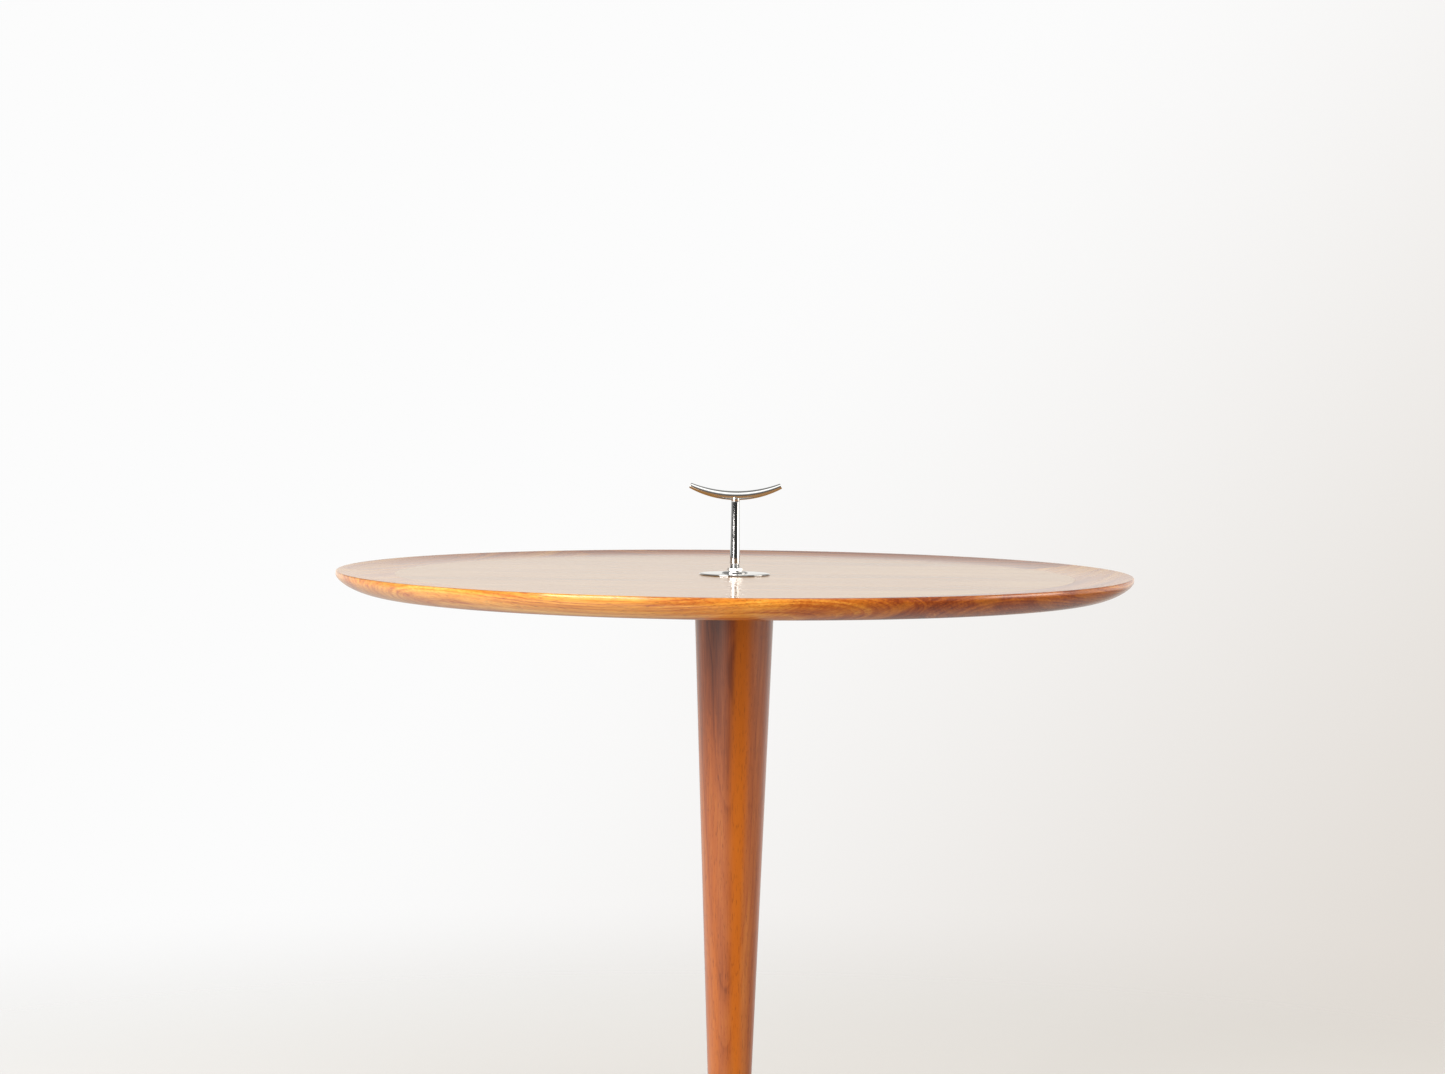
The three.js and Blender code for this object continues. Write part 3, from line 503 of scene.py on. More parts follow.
edgeBand = {
    "segments": 4, "firstJoint": 26, "arcSteps": 96, "jointGap": 0.08 * mm, "panelGap": 0.1 * mm,
    "dishPower": 1.7, "dishSteps": 24, "dishEnd": 2.08 * mm,
    "edgeRound": 1.3 * mm, "roundSteps": 6, "edgeFace": 2.5 * mm,
    "undercut": 36 * mm, "undercutPower": 1.54, "undercutSteps": 28,
    "tongueDepth": 8.6 * mm, "tongueHalf": 2.8 * mm,
    # Each board is cut from its own stretch of wood.
    "boardMiddle": 0.86, "boardApart": 1.7, "boardAcross": (0.004, -0.011, 0.0, 0.016),
    "boardDeeper": 0.003,
    "boardTones": ((-0.2, -0.1, -0.1), (0.0, 0.0, 0.05), (0.02, 0.13, -0.26), (-0.22, -0.1, 0.15)),
}
panelRadius = turnedSize("face_veneer")[1]
panelTop = turnedSize("face_veneer")[3]
coreLow, coreHigh = turnedSize("core_panel")[2:]
underside, crest = turnedSize("rim_segment_1")[2:]
topRadius = cadBox[1].x


def edgeBandOutline():
    inner = panelRadius + edgeBand["panelGap"]
    dishEnd = topRadius - edgeBand["dishEnd"]
    points = []
    for i in range(edgeBand["dishSteps"] + 1):
        share = i / edgeBand["dishSteps"]
        points.append((inner + (dishEnd - inner) * share,
                       crest - (crest - panelTop) * (1 - share ** edgeBand["dishPower"])))
    roundTop = crest - edgeBand["edgeRound"]
    for i in range(1, edgeBand["roundSteps"] + 1):
        angle = math.pi / 2 * i / edgeBand["roundSteps"]
        points.append((dishEnd + (topRadius - dishEnd) * math.sin(angle),
                       roundTop + (crest - roundTop) * math.cos(angle)))
    curveTop = roundTop - edgeBand["edgeFace"]
    power = 2 / edgeBand["undercutPower"]
    for i in range(edgeBand["undercutSteps"] + 1):
        angle = math.pi / 2 * i / edgeBand["undercutSteps"]
        points.append((topRadius - edgeBand["undercut"] * (1 - math.cos(angle) ** power),
                       curveTop - (curveTop - underside) * math.sin(angle) ** power))
    middle = (coreLow + coreHigh) / 2
    deep, half = edgeBand["tongueDepth"], edgeBand["tongueHalf"]
    points += [(inner, underside), (inner, middle - half), (inner + deep, middle - half),
               (inner + deep, middle + half), (inner, middle + half)]
    return points


def edgeBandSegment(start, end):
    outline = edgeBandOutline()
    steps = edgeBand["arcSteps"]
    vertices = []
    for i in range(steps + 1):
        angle = math.radians(start + (end - start) * i / steps)
        vertices += [(r * math.cos(angle), r * math.sin(angle), z) for r, z in outline]
    return vertices, barFaces(steps + 1, len(outline))


# Each quarter is its own board, with fibres along its chord and its own stretch of figure.
def boardGrain(middleAngle, index):
    along = Vector((-math.sin(middleAngle), math.cos(middleAngle), 0))
    across = Vector((math.cos(middleAngle), math.sin(middleAngle), 0))
    middle = topRadius * edgeBand["boardMiddle"]
    shift = Vector((edgeBand["boardApart"] * index, edgeBand["boardAcross"][index - 1],
                    edgeBand["boardDeeper"] * index))
    return lambda p: Vector((p.dot(along), p.dot(across) - middle, p.z - crest)) + shift


# A board's tone runs softly through three values: at its start, middle and end.
def boardShade(start, quarter, first, middle, last):
    def at(p):
        degrees = (math.degrees(math.atan2(p.y, p.x)) - start) % 360
        t = degrees / quarter if degrees < 1.5 * quarter else 0
        return first * (1 - t) * (1 - 2 * t) + middle * 4 * t * (1 - t) + last * t * (2 * t - 1)
    return at


quarter = 360 / edgeBand["segments"]
halfGap = math.degrees(edgeBand["jointGap"] / 2 / panelRadius)
for index in range(1, edgeBand["segments"] + 1):
    start = edgeBand["firstJoint"] + quarter * (index - 1)
    makePiece(f"edgeBandSegment{index}", edgeBandSegment(start + halfGap, start + quarter - halfGap),
              rimWalnut, "top", [f"rim_segment_{index}"],
              boardGrain(math.radians(start + quarter / 2), index),
              tone=boardShade(start, quarter, *edgeBand["boardTones"][index - 1]))

veneer = {"leafWidth": 190 * mm, "sides": 240, "rings": 8, "ringPower": 0.8, "overlap": 0.05 * mm}


# A thin disc with a hole, in rings, so that its grain follows the leaves of veneer.
def veneerDisc(node):
    inner, _, low, high = turnedSize(node)
    outer = panelRadius + veneer["overlap"]
    radii = [inner + (outer - inner) * (i / veneer["rings"]) ** veneer["ringPower"]
             for i in range(veneer["rings"] + 1)]
    outline = [(r, high) for r in radii] + [(r, low) for r in reversed(radii)]
    return turned(outline, veneer["sides"])


# Book-matched leaves: each leaf mirrors its neighbour at the seam.
def leafGrain(shift):
    width = veneer["leafWidth"]
    def at(p):
        across = (p.y + width / 2) % (2 * width)
        mirrored = across if across < width else 2 * width - across
        return Vector((p.x + shift, mirrored, 0.0))
    return at


# Cuts a veneer along planes of constant y, so that each seam is an edge.
def cutAtSeams(piece):
    work = bmesh.new()
    work.from_mesh(piece.data)
    seam = -veneer["leafWidth"] * 2.5
    while seam < topRadius:
        parts = work.verts[:] + work.edges[:] + work.faces[:]
        bmesh.ops.bisect_plane(work, geom=parts, plane_co=(0, seam, 0), plane_no=(0, 1, 0))
        seam += veneer["leafWidth"]
    work.to_mesh(piece.data)
    work.free()


for name, node, material, slot, shift in (
        ("faceVeneer", "face_veneer", veneerWalnut, "top_veneer", 0.35),
        ("backingVeneer", "backing_veneer", backingWalnut, "backing_veneer", 2.2)):
    leaves = leafGrain(shift)
    disc = makePiece(name, veneerDisc(node), material, "top", [node], leaves)
    cutAtSeams(disc)
    setGrain(disc.data, leaves)
print("top made")


# Column, hub, legs and glides.

hubLow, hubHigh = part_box("hub")[0].z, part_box("hub")[1].z
hubRadius = turnedSize("hub")[1]
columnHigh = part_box("column")[1].z
columnTopRadius = radiusAt("column", columnHigh)
column = {
    "sides": 128, "longest": 12 * mm, "headRound": 1.6 * mm, "footGap": 0.3 * mm,
    "footRound": 0.4 * mm, "recess": 20.5 * mm, "recessDepth": 17 * mm, "recessRound": 0.6 * mm,
    "spigot": 13 * mm, "spigotDepth": 52 * mm, "spigotRound": 1 * mm,
    # Painted shade: the column is darkened towards the top left, standing for the shadow of the table
    # top.
    "paintedShadeFrom": 440 * mm, "paintedShadeDepth": 0.6, "paintedShadeLeft": 0.6,
    "boardStart": 0.62,
}
columnFoot = hubHigh + column["footGap"]
spigotEnd = hubHigh - column["spigotDepth"]
columnOutline = softOutline([
    (0, spigotEnd, 0),
    (column["spigot"], spigotEnd, column["spigotRound"]),
    (column["spigot"], columnFoot, 0),
    (radiusAt("column", columnFoot), columnFoot, column["footRound"]),
    (columnTopRadius, columnHigh, column["headRound"]),
    (column["recess"], columnHigh, column["recessRound"]),
    (column["recess"], columnHigh - column["recessDepth"], column["recessRound"]),
    (0, columnHigh - column["recessDepth"], 0),
])


# Painted shade: a tone that darkens the column's upper part, most on its left, where the table top
# shades it.
def paintedColumnShade(p):
    upper = max(0, min(1, (p.z - column["paintedShadeFrom"]) / (columnHigh - column["paintedShadeFrom"])))
    leftward = max(0, min(1, column["paintedShadeLeft"] - p.x / columnTopRadius))
    return -column["paintedShadeDepth"] * upper * leftward


makePiece("taperedColumn", turned(subdivided(columnOutline, column["longest"]), column["sides"]),
          columnWalnut, "base", ["column"],
          lambda p: Vector((p.z + column["boardStart"], p.x, -p.y)), tone=paintedColumnShade)

hub = {
    "sides": 128, "roundSteps": 8, "footRound": 3 * mm, "boltHole": 4.2 * mm,
    "shoulderDrop": 14 * mm, "shoulderRound": 5 * mm,
    "slopeWidth": 8 * mm, "slopeDrop": 6.5 * mm, "slopeRound": 5 * mm,
    "neckWidth": 0.6 * mm, "neckDrop": 2.5 * mm, "neckRound": 3 * mm,
    "collar": 22 * mm, "collarRound": 1.2 * mm,
    "bore": 13.3 * mm, "boreRound": 0.3 * mm, "boreSpare": 0.3 * mm,
    "boardStart": 0.9, "boardAcross": 0.02,
}
boreEnd = spigotEnd - hub["boreSpare"]
hubOutline = softOutline([
    (hub["boltHole"], hubLow, 0),
    (hubRadius, hubLow, hub["footRound"]),
    (hubRadius, hubHigh - hub["shoulderDrop"], hub["shoulderRound"]),
    (hub["collar"] + hub["slopeWidth"], hubHigh - hub["slopeDrop"], hub["slopeRound"]),
    (hub["collar"] + hub["neckWidth"], hubHigh - hub["neckDrop"], hub["neckRound"]),
    (hub["collar"], hubHigh, hub["collarRound"]),
    (hub["bore"], hubHigh, hub["boreRound"]),
    (hub["bore"], boreEnd, 0),
    (hub["boltHole"], boreEnd, 0),
], closed=True, steps=hub["roundSteps"])
makePiece("turnedHub", turned(hubOutline, hub["sides"]), columnWalnut, "base",
          ["hub"], lambda p: Vector((p.z + hub["boardStart"], p.x + hub["boardAcross"], -p.y)))

leg = {
    "rootHeight": 42 * mm, "rootWidth": 27 * mm, "footHeight": 22 * mm, "footWidth": 19 * mm,
    "squareness": 0.55, "sides": 48, "steps": 72, "belowHubTop": 16 * mm, "rootInside": 6 * mm,
    # Where the leg's line arches and falls: shares of its reach, and of its height at the hub.
    "archAt": 0.5, "archRise": 10 * mm, "fallAt": 0.78, "fallHeight": 0.48,
    "pastFoot": 5 * mm, "belowFloor": 2 * mm, "slopeStep": 0.002, "glideGap": 0.3 * mm,
    # The board leans as the leg does. The shifts keep the three legs from looking alike.
    "boardOut": 0.93, "boardDown": -0.36, "boardApart": 1.3, "boardAcross": 0.012,
}
glide = {"high": 6 * mm, "radius": 10 * mm, "floorRound": 2.4 * mm, "topRound": 0.96 * mm,
         "nail": 1.5 * mm, "nailLength": 5 * mm, "sides": 48}
dowel = {"radius": 4 * mm, "round": 0.5 * mm, "below": 0.25 * mm, "sides": 32}


def bezier(points, t):
    a, b, c, d = points
    return a * (1 - t) ** 3 + b * 3 * t * (1 - t) ** 2 + c * 3 * t ** 2 * (1 - t) + d * t ** 3


# Cuts off what lies below a height and closes the cut.
def cutBelow(shape, height):
    mesh = bpy.data.meshes.new("cutting")
    mesh.from_pydata(shape[0], [], shape[1])
    work = bmesh.new()
    work.from_mesh(mesh)
    parts = work.verts[:] + work.edges[:] + work.faces[:]
    cut = bmesh.ops.bisect_plane(work, geom=parts, plane_co=(0, 0, height), plane_no=(0, 0, 1),
                                 clear_inner=True)
    loop = [g for g in cut["geom_cut"] if isinstance(g, bmesh.types.BMEdge)]
    bmesh.ops.holes_fill(work, edges=loop)
    work.verts.index_update()
    made = [tuple(v.co) for v in work.verts], [tuple(v.index for v in f.verts) for f in work.faces]
    work.free()
    bpy.data.meshes.remove(mesh)
    return made


# A leg drawn along +X: level at the hub, arching down to a foot that is cut flat over its glide.
def legShape(reach):
    middle = hubHigh - leg["belowHubTop"] - leg["rootHeight"] / 2
    line = [Vector((hubRadius - leg["rootInside"], 0, middle)),
            Vector((reach * leg["archAt"], 0, middle + leg["archRise"])),
            Vector((reach * leg["fallAt"], 0, middle * leg["fallHeight"])),
            Vector((reach + leg["pastFoot"], 0, -leg["belowFloor"]))]
    vertices = []
    for i in range(leg["steps"] + 1):
        t = i / leg["steps"]
        here = bezier(line, t)
        ahead, behind = min(1, t + leg["slopeStep"]), max(0, t - leg["slopeStep"])
        along = (bezier(line, ahead) - bezier(line, behind)).normalized()
        halfUp = (leg["rootHeight"] + (leg["footHeight"] - leg["rootHeight"]) * t) / 2
        halfSide = (leg["rootWidth"] + (leg["footWidth"] - leg["rootWidth"]) * t) / 2
        for k in range(leg["sides"]):
            around = 2 * math.pi * k / leg["sides"]
            c, s = math.cos(around), math.sin(around)
            side = math.copysign(abs(c) ** leg["squareness"], c) * halfSide
            up = math.copysign(abs(s) ** leg["squareness"], s) * halfUp
            vertices.append((here.x - along.z * up, side, here.z + along.x * up))
    whole = vertices, barFaces(leg["steps"] + 1, leg["sides"])
    return cutBelow(whole, glide["high"] + leg["glideGap"])


def legGrain(angle, index):
    out = Vector((math.cos(angle), math.sin(angle), 0)) * leg["boardOut"]
    lean = Vector((out.x, out.y, leg["boardDown"]))
    sideways = Vector((-math.sin(angle), math.cos(angle), 0))
    deep = lean.cross(sideways)
    return lambda p: Vector((p.dot(lean) + leg["boardApart"] * index,
                             p.dot(sideways) + leg["boardAcross"] * index, p.dot(deep)))


glideOutline = softOutline([
    (0, 0, 0), (glide["radius"], 0, glide["floorRound"]),
    (glide["radius"], glide["high"], glide["topRound"]), (glide["nail"], glide["high"], 0),
    (glide["nail"], glide["high"] + glide["nailLength"], 0),
    (0, glide["high"] + glide["nailLength"], 0)])
for index in (1, 2, 3):
    low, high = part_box(f"glide_{index}")
    foot = (low + high) / 2
    angle = math.atan2(foot.y, foot.x)
    legPiece = placed(legShape(math.hypot(foot.x, foot.y)), Matrix.Rotation(angle, 4, "Z"))
    makePiece(f"splayedLeg{index}", legPiece, columnWalnut, "base",
              [f"leg_{index}"], legGrain(angle, index))
    glidePiece = placed(turned(glideOutline, glide["sides"]),
                        Matrix.Translation((foot.x, foot.y, 0)))
    makePiece(f"nailedGlide{index}", glidePiece, nylon, "base", [f"glide_{index}"])
    low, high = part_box(f"leg_dowel_{index}")
    middle = (low + high) / 2
    dowelLow = low.z - dowel["below"]
    peg = turned(softOutline([
        (0, dowelLow, 0), (dowel["radius"], dowelLow, dowel["round"]),
        (dowel["radius"], high.z, dowel["round"]), (0, high.z, 0)]), dowel["sides"])
    makePiece(f"tenonDowel{index}", placed(peg, Matrix.Translation((middle.x, middle.y, 0))),
              beech, "base", [f"leg_dowel_{index}"])
print("column, hub and legs made")


# Handle and its fittings.

grip = {
    "centre": panelTop + 76 * mm, "span": 86.4 * mm, "rise": 9.35 * mm,
    "middleRadius": 4.3 * mm, "endRadius": 2.6 * mm, "endRound": 0.4 * mm,
    "sides": 48, "steps": 96, "roundSteps": 3,
}


# The grip: a round bar on a shallow arc, full in the middle, its ends cut square with broken edges.
def gripShape():
    halfAngle = 2 * math.atan(grip["rise"] / (grip["span"] / 2))
    bend = grip["span"] / 2 / math.sin(halfAngle)
    rings = []
    for i in range(grip["steps"] + 1):
        share = 2 * i / grip["steps"] - 1
        swell = (grip["middleRadius"] - grip["endRadius"]) * (1 - share ** 2)
        rings.append((share * halfAngle, grip["endRadius"] + swell))
    for k in range(1, grip["roundSteps"] + 1):
        turnBy = math.pi / 2 * k / grip["roundSteps"]
        past = grip["endRound"] / bend * math.sin(turnBy)
        shrunk = grip["endRadius"] - grip["endRound"] * (1 - math.cos(turnBy))
        rings.insert(0, (-halfAngle - past, shrunk))
        rings.append((halfAngle + past, shrunk))
    vertices = []
    for angle, radius in rings:
        for k in range(grip["sides"]):
            around = 2 * math.pi * k / grip["sides"]
            out = bend - radius * math.sin(around)
            vertices.append((out * math.sin(angle), radius * math.cos(around),
                             grip["centre"] + bend - out * math.cos(angle)))
    return vertices, barFaces(len(rings), grip["sides"])


makePiece("crescentGrip", gripShape(), chrome, "handle", ["handle_grip"], crease=50)

stem = {
    "sides": 64, "longest": 6 * mm, "shank": 3 * mm, "shankRound": 0.4 * mm, "overTube": 0.3 * mm,
    "base": 4.85 * mm, "baseRound": 0.4 * mm, "waist": 4.35 * mm, "waistUp": 24 * mm,
    "waistRound": 20 * mm, "top": 4.15 * mm, "topDown": 9 * mm, "topRound": 12 * mm,
    # The weld flares a little where the stem meets the grip.
    "flareDown": 0.9 * mm, "flareRound": 1.2 * mm, "flareWide": 0.385 * mm, "flareUp": 1.2 * mm,
    "flareEdge": 0.5 * mm, "hiddenIn": 0.6 * mm,
}
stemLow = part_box("handle_stem")[0].z
tubeLow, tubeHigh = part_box("guide_tube")[0].z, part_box("guide_tube")[1].z
stemBase = tubeHigh + stem["overTube"]
underGrip = grip["centre"] - grip["middleRadius"]
stemOutline = softOutline([
    (0, stemLow, 0),
    (stem["shank"], stemLow, stem["shankRound"]),
    (stem["shank"], stemBase, 0),
    (stem["base"], stemBase, stem["baseRound"]),
    (stem["waist"], stemBase + stem["waistUp"], stem["waistRound"]),
    (stem["top"], underGrip - stem["topDown"], stem["topRound"]),
    (stem["top"], underGrip - stem["flareDown"], stem["flareRound"]),
    (stem["top"] + stem["flareWide"], underGrip + stem["flareUp"], stem["flareEdge"]),
    (stem["top"] - stem["hiddenIn"], grip["centre"], 0),
    (0, grip["centre"], 0)])
makePiece("handleStem", turned(subdivided(stemOutline, stem["longest"]), stem["sides"]), chrome,
          "handle", ["handle_stem"], crease=50)

thread = {"pitch": 1.27 * mm, "depth": 0.62 * mm, "endDepth": 0.7, "lead": 0.8 * mm,
          "rowsPerTurn": 12, "sides": 48}


# A real helix: the radius follows the thread's phase, and fades out at both ends. The bore is plain.
def threadedTube(low, high, outer, bore):
    rows = math.ceil((high - low) / thread["pitch"] * thread["rowsPerTurn"])
    turns = [2 * math.pi * k / thread["sides"] for k in range(thread["sides"])]
    vertices = []
    for row in range(rows + 1):
        z = low + (high - low) * row / rows
        fade = min(1, (high - z) / thread["lead"], (z - low) / thread["lead"])
        for k, around in enumerate(turns):
            phase = (z / thread["pitch"] - k / thread["sides"]) % 1
            groove = 1 - abs(2 * phase - 1)
            r = outer - thread["depth"] * (groove * fade + thread["endDepth"] * (1 - fade))
            vertices.append((r * math.cos(around), r * math.sin(around), z))
    for z in (high, low):
        vertices += [(bore * math.cos(around), bore * math.sin(around), z) for around in turns]
    return vertices, ringFaces(rows + 3, thread["sides"], closed=True)


tubeInner, tubeOuter = turnedSize("guide_tube")[:2]
makePiece("threadedTube", threadedTube(tubeLow, tubeHigh, tubeOuter, tubeInner), chrome, "top",
          ["guide_tube"], crease=60)

nut = {
    "sides": 144, "chamferRise": 0.577, "chamferIn": 0.1 * mm,
    "levels": [depth * mm for depth in (0, 0.15, 0.35, 0.6, 0.9, 1.2, 1.6, 2.1)],
}


# A hexagon nut: flats cut by a 30 degree chamfer at both ends, round a plain bore.
def hexNut(low, high, flats, bore, turnBy):
    levels = [low + depth for depth in nut["levels"] if depth < (high - low) / 2]
    levels += [low + high - z for z in reversed(levels)]
    turns = [2 * math.pi * k / nut["sides"] for k in range(nut["sides"])]
    vertices = []
    for z in levels:
        fromEnd = min(z - low, high - z)
        cone = flats / 2 - nut["chamferIn"] + fromEnd / nut["chamferRise"]
        for around in turns:
            facet = (around + math.pi / 6) % (math.pi / 3) - math.pi / 6
            r = min(flats / 2 / math.cos(facet), cone)
            vertices.append((r * math.cos(around + turnBy), r * math.sin(around + turnBy), z))
    for z in (high, low):
        vertices += [(bore * math.cos(around + turnBy), bore * math.sin(around + turnBy), z)
                     for around in turns]
    return vertices, ringFaces(len(levels) + 2, nut["sides"], closed=True)


# Each nut's width across its flats, and the direction in degrees that one of them faces.
for name, node, material, body, slot, flats, facing in (
        ("jamNut", "jam_nut", chrome, "top", "chrome", 13 * mm, 78),
        ("lowerNut", "lower_nut", zinc, "top", "zinc_steel", 16 * mm, 90),
        ("baseNut", "base_nut", zinc, "base", "zinc_steel", 13 * mm, 90)):
    low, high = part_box(node)
    shape = hexNut(low.z, high.z, flats, turnedSize(node)[0], math.radians(facing))
    makePiece(name, shape, material, body, [node], crease=20)

flange = {"sides": 160, "footRound": 0.3 * mm, "edge": 0.7 * mm, "edgeRound": 0.4 * mm,
          "bevel": 1.6 * mm, "bevelDrop": 0.15 * mm, "bevelRound": 1 * mm}
inner, outer, low, high = turnedSize("flange_disc")
flangeOutline = softOutline([
    (inner, low, 0),
    (outer, low, flange["footRound"]),
    (outer, low + flange["edge"], flange["edgeRound"]),
    (outer - flange["bevel"], high - flange["bevelDrop"], flange["bevelRound"]),
    (inner, high, 0)], closed=True)
makePiece("flangeDisc", turned(flangeOutline, flange["sides"]), chrome, "top",
          ["flange_disc"], crease=50)

washer = {"sides": 96, "footRound": 0.15 * mm, "edge": 0.5 * mm, "edgeRound": 0.3 * mm,
          "dish": 3.5 * mm, "dishRound": 2 * mm, "holeFoot": 0.1 * mm, "holeRound": 0.2 * mm}
inner, outer, low, high = turnedSize("jam_washer")
washerOutline = softOutline([
    (inner, low, washer["holeFoot"]),
    (outer, low, washer["footRound"]),
    (outer, low + washer["edge"], washer["edgeRound"]),
    (outer - washer["dish"], high, washer["dishRound"]),
    (inner, high, washer["holeRound"])], closed=True)
makePiece("dishedWasher", turned(washerOutline, washer["sides"]), chrome, "top",
          ["jam_washer"], crease=50)
print("handle made")


# Hidden hardware: CAD nodes keep their shape and take a finish.

finishes = {"plywood": plywood, "beech": beech, "black_steel": powderCoat, "zinc_steel": zinc,
            "rubber": rubber, "nylon": nylon}
for part in frame["record"]["subparts"]:
    node = nodes[part["node"]]
    if node.hide_render:
        continue
    node.data.materials.clear()
    node.data.materials.append(finishes[part["material_slot"]])
print("hardware dressed")


# Room, lights and camera.

floor = {"radius": 2.4, "sides": 96, "fadeFrom": 0.6, "fadeTo": 2.2, "seen": 0.7, "mirrored": 0.12,
         "colour": "#f3f2f0", "roughness": 0.9, "specular": 0.1}


def makeFloor():
    material, tree, shader = newMaterial("matt_studio_floor_paint")
    place = addNode(tree, "ShaderNodeTexCoord")
    flat = addNode(tree, "ShaderNodeVectorMath", {"operation": "LENGTH"},
                   {0: place.outputs["Object"]})
    fade = addNode(tree, "ShaderNodeMapRange", {"interpolation_type": "SMOOTHSTEP"},
                   {0: flat.outputs["Value"], 1: floor["fadeFrom"], 2: floor["fadeTo"], 3: 1, 4: 0})
    # Solid to the eye, but thin to the other rays, so that the table mirrors the room's own floor.
    path = addNode(tree, "ShaderNodeLightPath")
    body = addNode(tree, "ShaderNodeMapRange", {},
                   {0: path.outputs["Is Camera Ray"], 3: floor["mirrored"], 4: floor["seen"]})
    solid = addNode(tree, "ShaderNodeMath", {"operation": "MULTIPLY"},
                    {0: fade.outputs[0], 1: body.outputs[0]})
    tree.links.new(solid.outputs[0], shader.inputs["Alpha"])
    setShader(shader, {"Base Color": toLinear(floor["colour"]), "Roughness": floor["roughness"],
                       "Specular IOR Level": floor["specular"]})
    mesh = bpy.data.meshes.new("studioFloor")
    vertices, faces = [(0, 0, 0)], []
    for i in range(floor["sides"]):
        angle = 2 * math.pi * i / floor["sides"]
        vertices.append((floor["radius"] * math.cos(angle), floor["radius"] * math.sin(angle), 0))
        faces.append((0, i + 1, (i + 1) % floor["sides"] + 1))
    mesh.from_pydata(vertices, [], faces)
    mesh.materials.append(material)
    studioFloor = bpy.data.objects.new("studioFloor", mesh)
    bpy.context.scene.collection.objects.link(studioFloor)


# The room as light: a white sweep behind the table, a dark studio in front of it and a pale wall
# to its right. Each band gives brightness by azimuth in degrees, from the front (0) to the right
# (+90), the back (180) and the left (-90). It takes over from the band below between two heights
# of the view direction.
room = {
    "bands": [
        (None, [(-180, 0.3), (-140, 0.9), (-100, 1.6), (-60, 0.9), (-30, 0.4), (-10, 0.1),
                (50, 0.03), (90, 0.1), (140, 0.15), (180, 0.3)]),
        ((-0.3, -0.14), [(-180, 0.6), (-137, 0.9), (-60, 1.2), (-29, 0.8), (-8, 0.2), (29, 0.15),
                         (60, 0.35), (97, 0.6), (140, 1.0), (180, 0.6)]),
        ((-0.12, -0.04), [(-180, 1.0), (-170, 1.03), (-124, 0.95), (-114, 0.3), (-75, 0.3),
                          (-52, 0.08), (0, 0.05), (48, 0.05), (60, 0.75), (110, 0.95),
                          (170, 0.96), (180, 1.0)]),
        ((0.08, 0.28), [(-180, 0.35), (-90, 0.3), (-50, 0.6), (30, 0.5), (90, 0.5), (180, 0.35)]),
    ],
    "warmth": "#fffdf8",
    # The backdrop that the eye sees falls off softly to the right and below: a painted shadow on the
    # sweep.
    "backdropLeft": "#fcfcfc", "backdropShadowRight": "#ddd6ce", "slope": (0.75, 0.0, -0.65),
    "slopeFrom": -0.02, "slopeTo": 0.34,
}


def makeWorld():
    world = bpy.data.worlds.new("studio")
    bpy.context.scene.world = world
    world.use_nodes = True
    tree = world.node_tree
    tree.nodes.clear()
    place = addNode(tree, "ShaderNodeTexCoord")
    parts = addNode(tree, "ShaderNodeSeparateXYZ", {}, {0: place.outputs["Generated"]})
    toFront = addNode(tree, "ShaderNodeMath", {"operation": "MULTIPLY"},
                      {0: parts.outputs["Y"], 1: -1})
    azimuth = addNode(tree, "ShaderNodeMath", {"operation": "ARCTAN2"},
                      {0: parts.outputs["X"], 1: toFront.outputs[0]})
    share = addNode(tree, "ShaderNodeMapRange", {},
                    {0: azimuth.outputs[0], 1: -math.pi, 2: math.pi, 3: 0, 4: 1})
    light = None
    for heights, levels in room["bands"]:
        ring = addNode(tree, "ShaderNodeValToRGB", {}, {0: share.outputs[0]})
        fillRamp(ring, [((degrees + 180) / 360, (level, level, level, 1))
                        for degrees, level in levels])
        if heights is None:
            light = ring.outputs[0]
            continue
        rise = addNode(tree, "ShaderNodeMapRange", {"interpolation_type": "SMOOTHSTEP"},
                       {0: parts.outputs["Z"], 1: heights[0], 2: heights[1], 3: 0, 4: 1})
        step = addNode(tree, "ShaderNodeMix", {"data_type": "RGBA"},
                       {0: rise.outputs[0], 6: light, 7: ring.outputs[0]})
        light = step.outputs[2]
    warmed = addNode(tree, "ShaderNodeMix", {"data_type": "RGBA", "blend_type": "MULTIPLY"},
                     {0: 1.0, 6: light, 7: toLinear(room["warmth"])})
    roomLight = addNode(tree, "ShaderNodeBackground", {},
                        {"Color": warmed.outputs[2], "Strength": 1.0})
    # Painted shadow: the backdrop the eye sees turns greyer towards the lower right.
    slope = addNode(tree, "ShaderNodeVectorMath", {"operation": "DOT_PRODUCT"},
                    {0: place.outputs["Generated"], 1: room["slope"]})
    away = addNode(tree, "ShaderNodeMapRange", {"interpolation_type": "SMOOTHSTEP"},
                   {0: slope.outputs["Value"], 1: room["slopeFrom"], 2: room["slopeTo"], 3: 0, 4: 1})
    backdrop = addNode(tree, "ShaderNodeMix", {"data_type": "RGBA"},
                       {0: away.outputs[0], 6: toLinear(room["backdropLeft"]),
                        7: toLinear(room["backdropShadowRight"])})
    seen = addNode(tree, "ShaderNodeBackground", {}, {"Color": backdrop.outputs[2], "Strength": 1.0})
    path = addNode(tree, "ShaderNodeLightPath")
    mixed = addNode(tree, "ShaderNodeMixShader", {},
                    {0: path.outputs["Is Camera Ray"], 1: roomLight.outputs[0], 2: seen.outputs[0]})
    addNode(tree, "ShaderNodeOutputWorld", {}, {"Surface": mixed.outputs[0]})


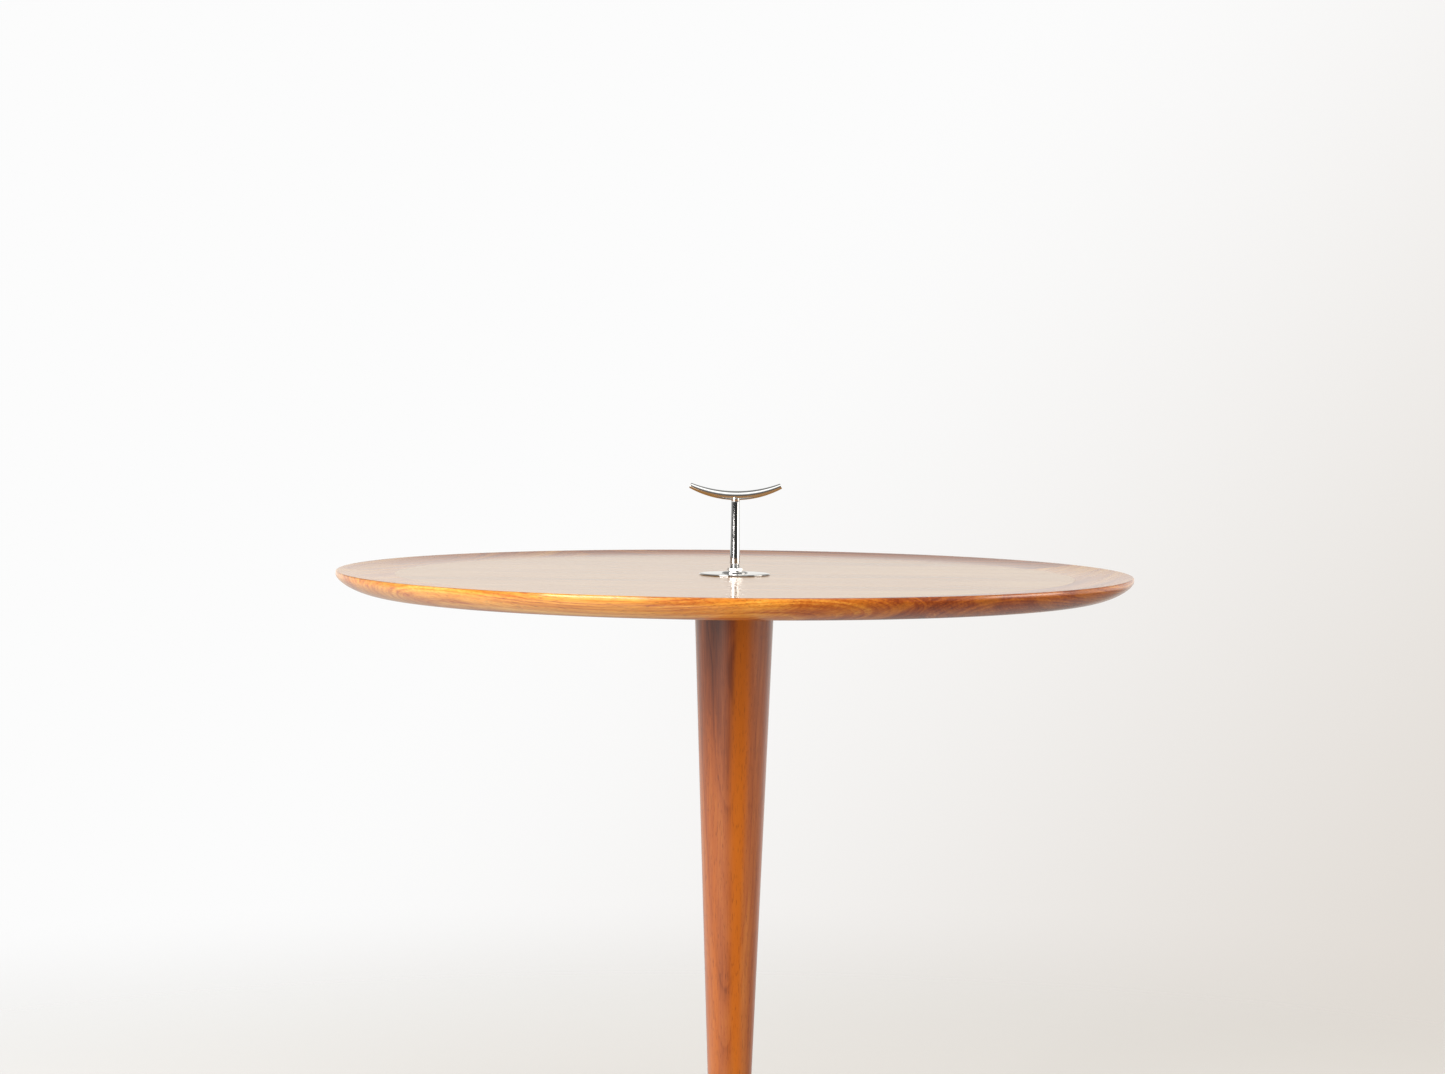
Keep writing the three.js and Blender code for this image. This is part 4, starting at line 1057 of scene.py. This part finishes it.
# A tall white panel at the left of the camera, a pale one at the right and a wide one overhead.
# The two low ones lift the underside and aren't mirrored. Power in watts.
lights = {
    "leftPanel": {"at": (-1.93, -2.56, 1.73), "towards": (0, 0, 1.73), "size": (1.7, 2.2),
                  "power": 125, "colour": "#fffaf4", "mirrored": True},
    "lowPanelLeft": {"at": (-0.8, -1.35, 0.14), "towards": (0.1, -0.2, 0.55), "size": (1.2, 1.2),
                     "power": 11, "colour": "#fff8ee", "mirrored": False},
    "lowPanelRight": {"at": (1.7, -0.9, 0.14), "towards": (0.2, -0.1, 0.55), "size": (1.2, 1.2),
                      "power": 10, "colour": "#fff4e8", "mirrored": False},
    "rightPanel": {"at": (3.0, -0.3, 1.2), "towards": (0, 0, 0.6), "size": (1.6, 1.4),
                   "power": 40, "colour": "#fff6ea", "mirrored": True},
    "overheadPanel": {"at": (0.54, -1.49, 3.2), "towards": (0, 0, 0.66), "size": (2.6, 2.2),
                      "power": 30, "colour": "#fffdf8", "mirrored": True},
}


def makeLights():
    for name, light in lights.items():
        data = bpy.data.lights.new(name, "AREA")
        data.shape = "RECTANGLE"
        data.size, data.size_y = light["size"]
        data.energy = light["power"]
        data.color = toLinear(light["colour"])[:3]
        lamp = bpy.data.objects.new(name, data)
        lamp.location = light["at"]
        facing = Vector(light["towards"]) - Vector(light["at"])
        lamp.rotation_euler = facing.to_track_quat("-Z", "Y").to_euler()
        lamp.visible_camera = False
        lamp.visible_glossy = light["mirrored"]
        bpy.context.scene.collection.objects.link(lamp)


# Distance and height in metres, angles in degrees, lens and sensor in mm.
view = {"distance": 3.277, "height": 0.857, "pitch": 2.87, "pan": 0.211, "roll": 0.58,
        "lens": 85.2, "sensor": 36.0}


def makeCamera():
    data = bpy.data.cameras.new("camera")
    data.lens = view["lens"]
    data.sensor_width = view["sensor"]
    camera = bpy.data.objects.new("camera", data)
    bpy.context.scene.collection.objects.link(camera)
    pan, pitch, roll = (math.radians(view[key]) for key in ("pan", "pitch", "roll"))
    forward = Vector((-math.sin(pan) * math.cos(pitch), math.cos(pan) * math.cos(pitch),
                      -math.sin(pitch)))
    level = forward.cross(Vector((0, 0, 1))).normalized()
    right = Matrix.Rotation(-roll, 3, forward) @ level
    up = right.cross(forward)
    camera.matrix_world = Matrix((right, up, -forward)).transposed().to_4x4()
    camera.location = (0, -view["distance"], view["height"])
    bpy.context.scene.camera = camera


makeFloor()
makeWorld()
makeLights()
makeCamera()
print("room, lights and camera made")
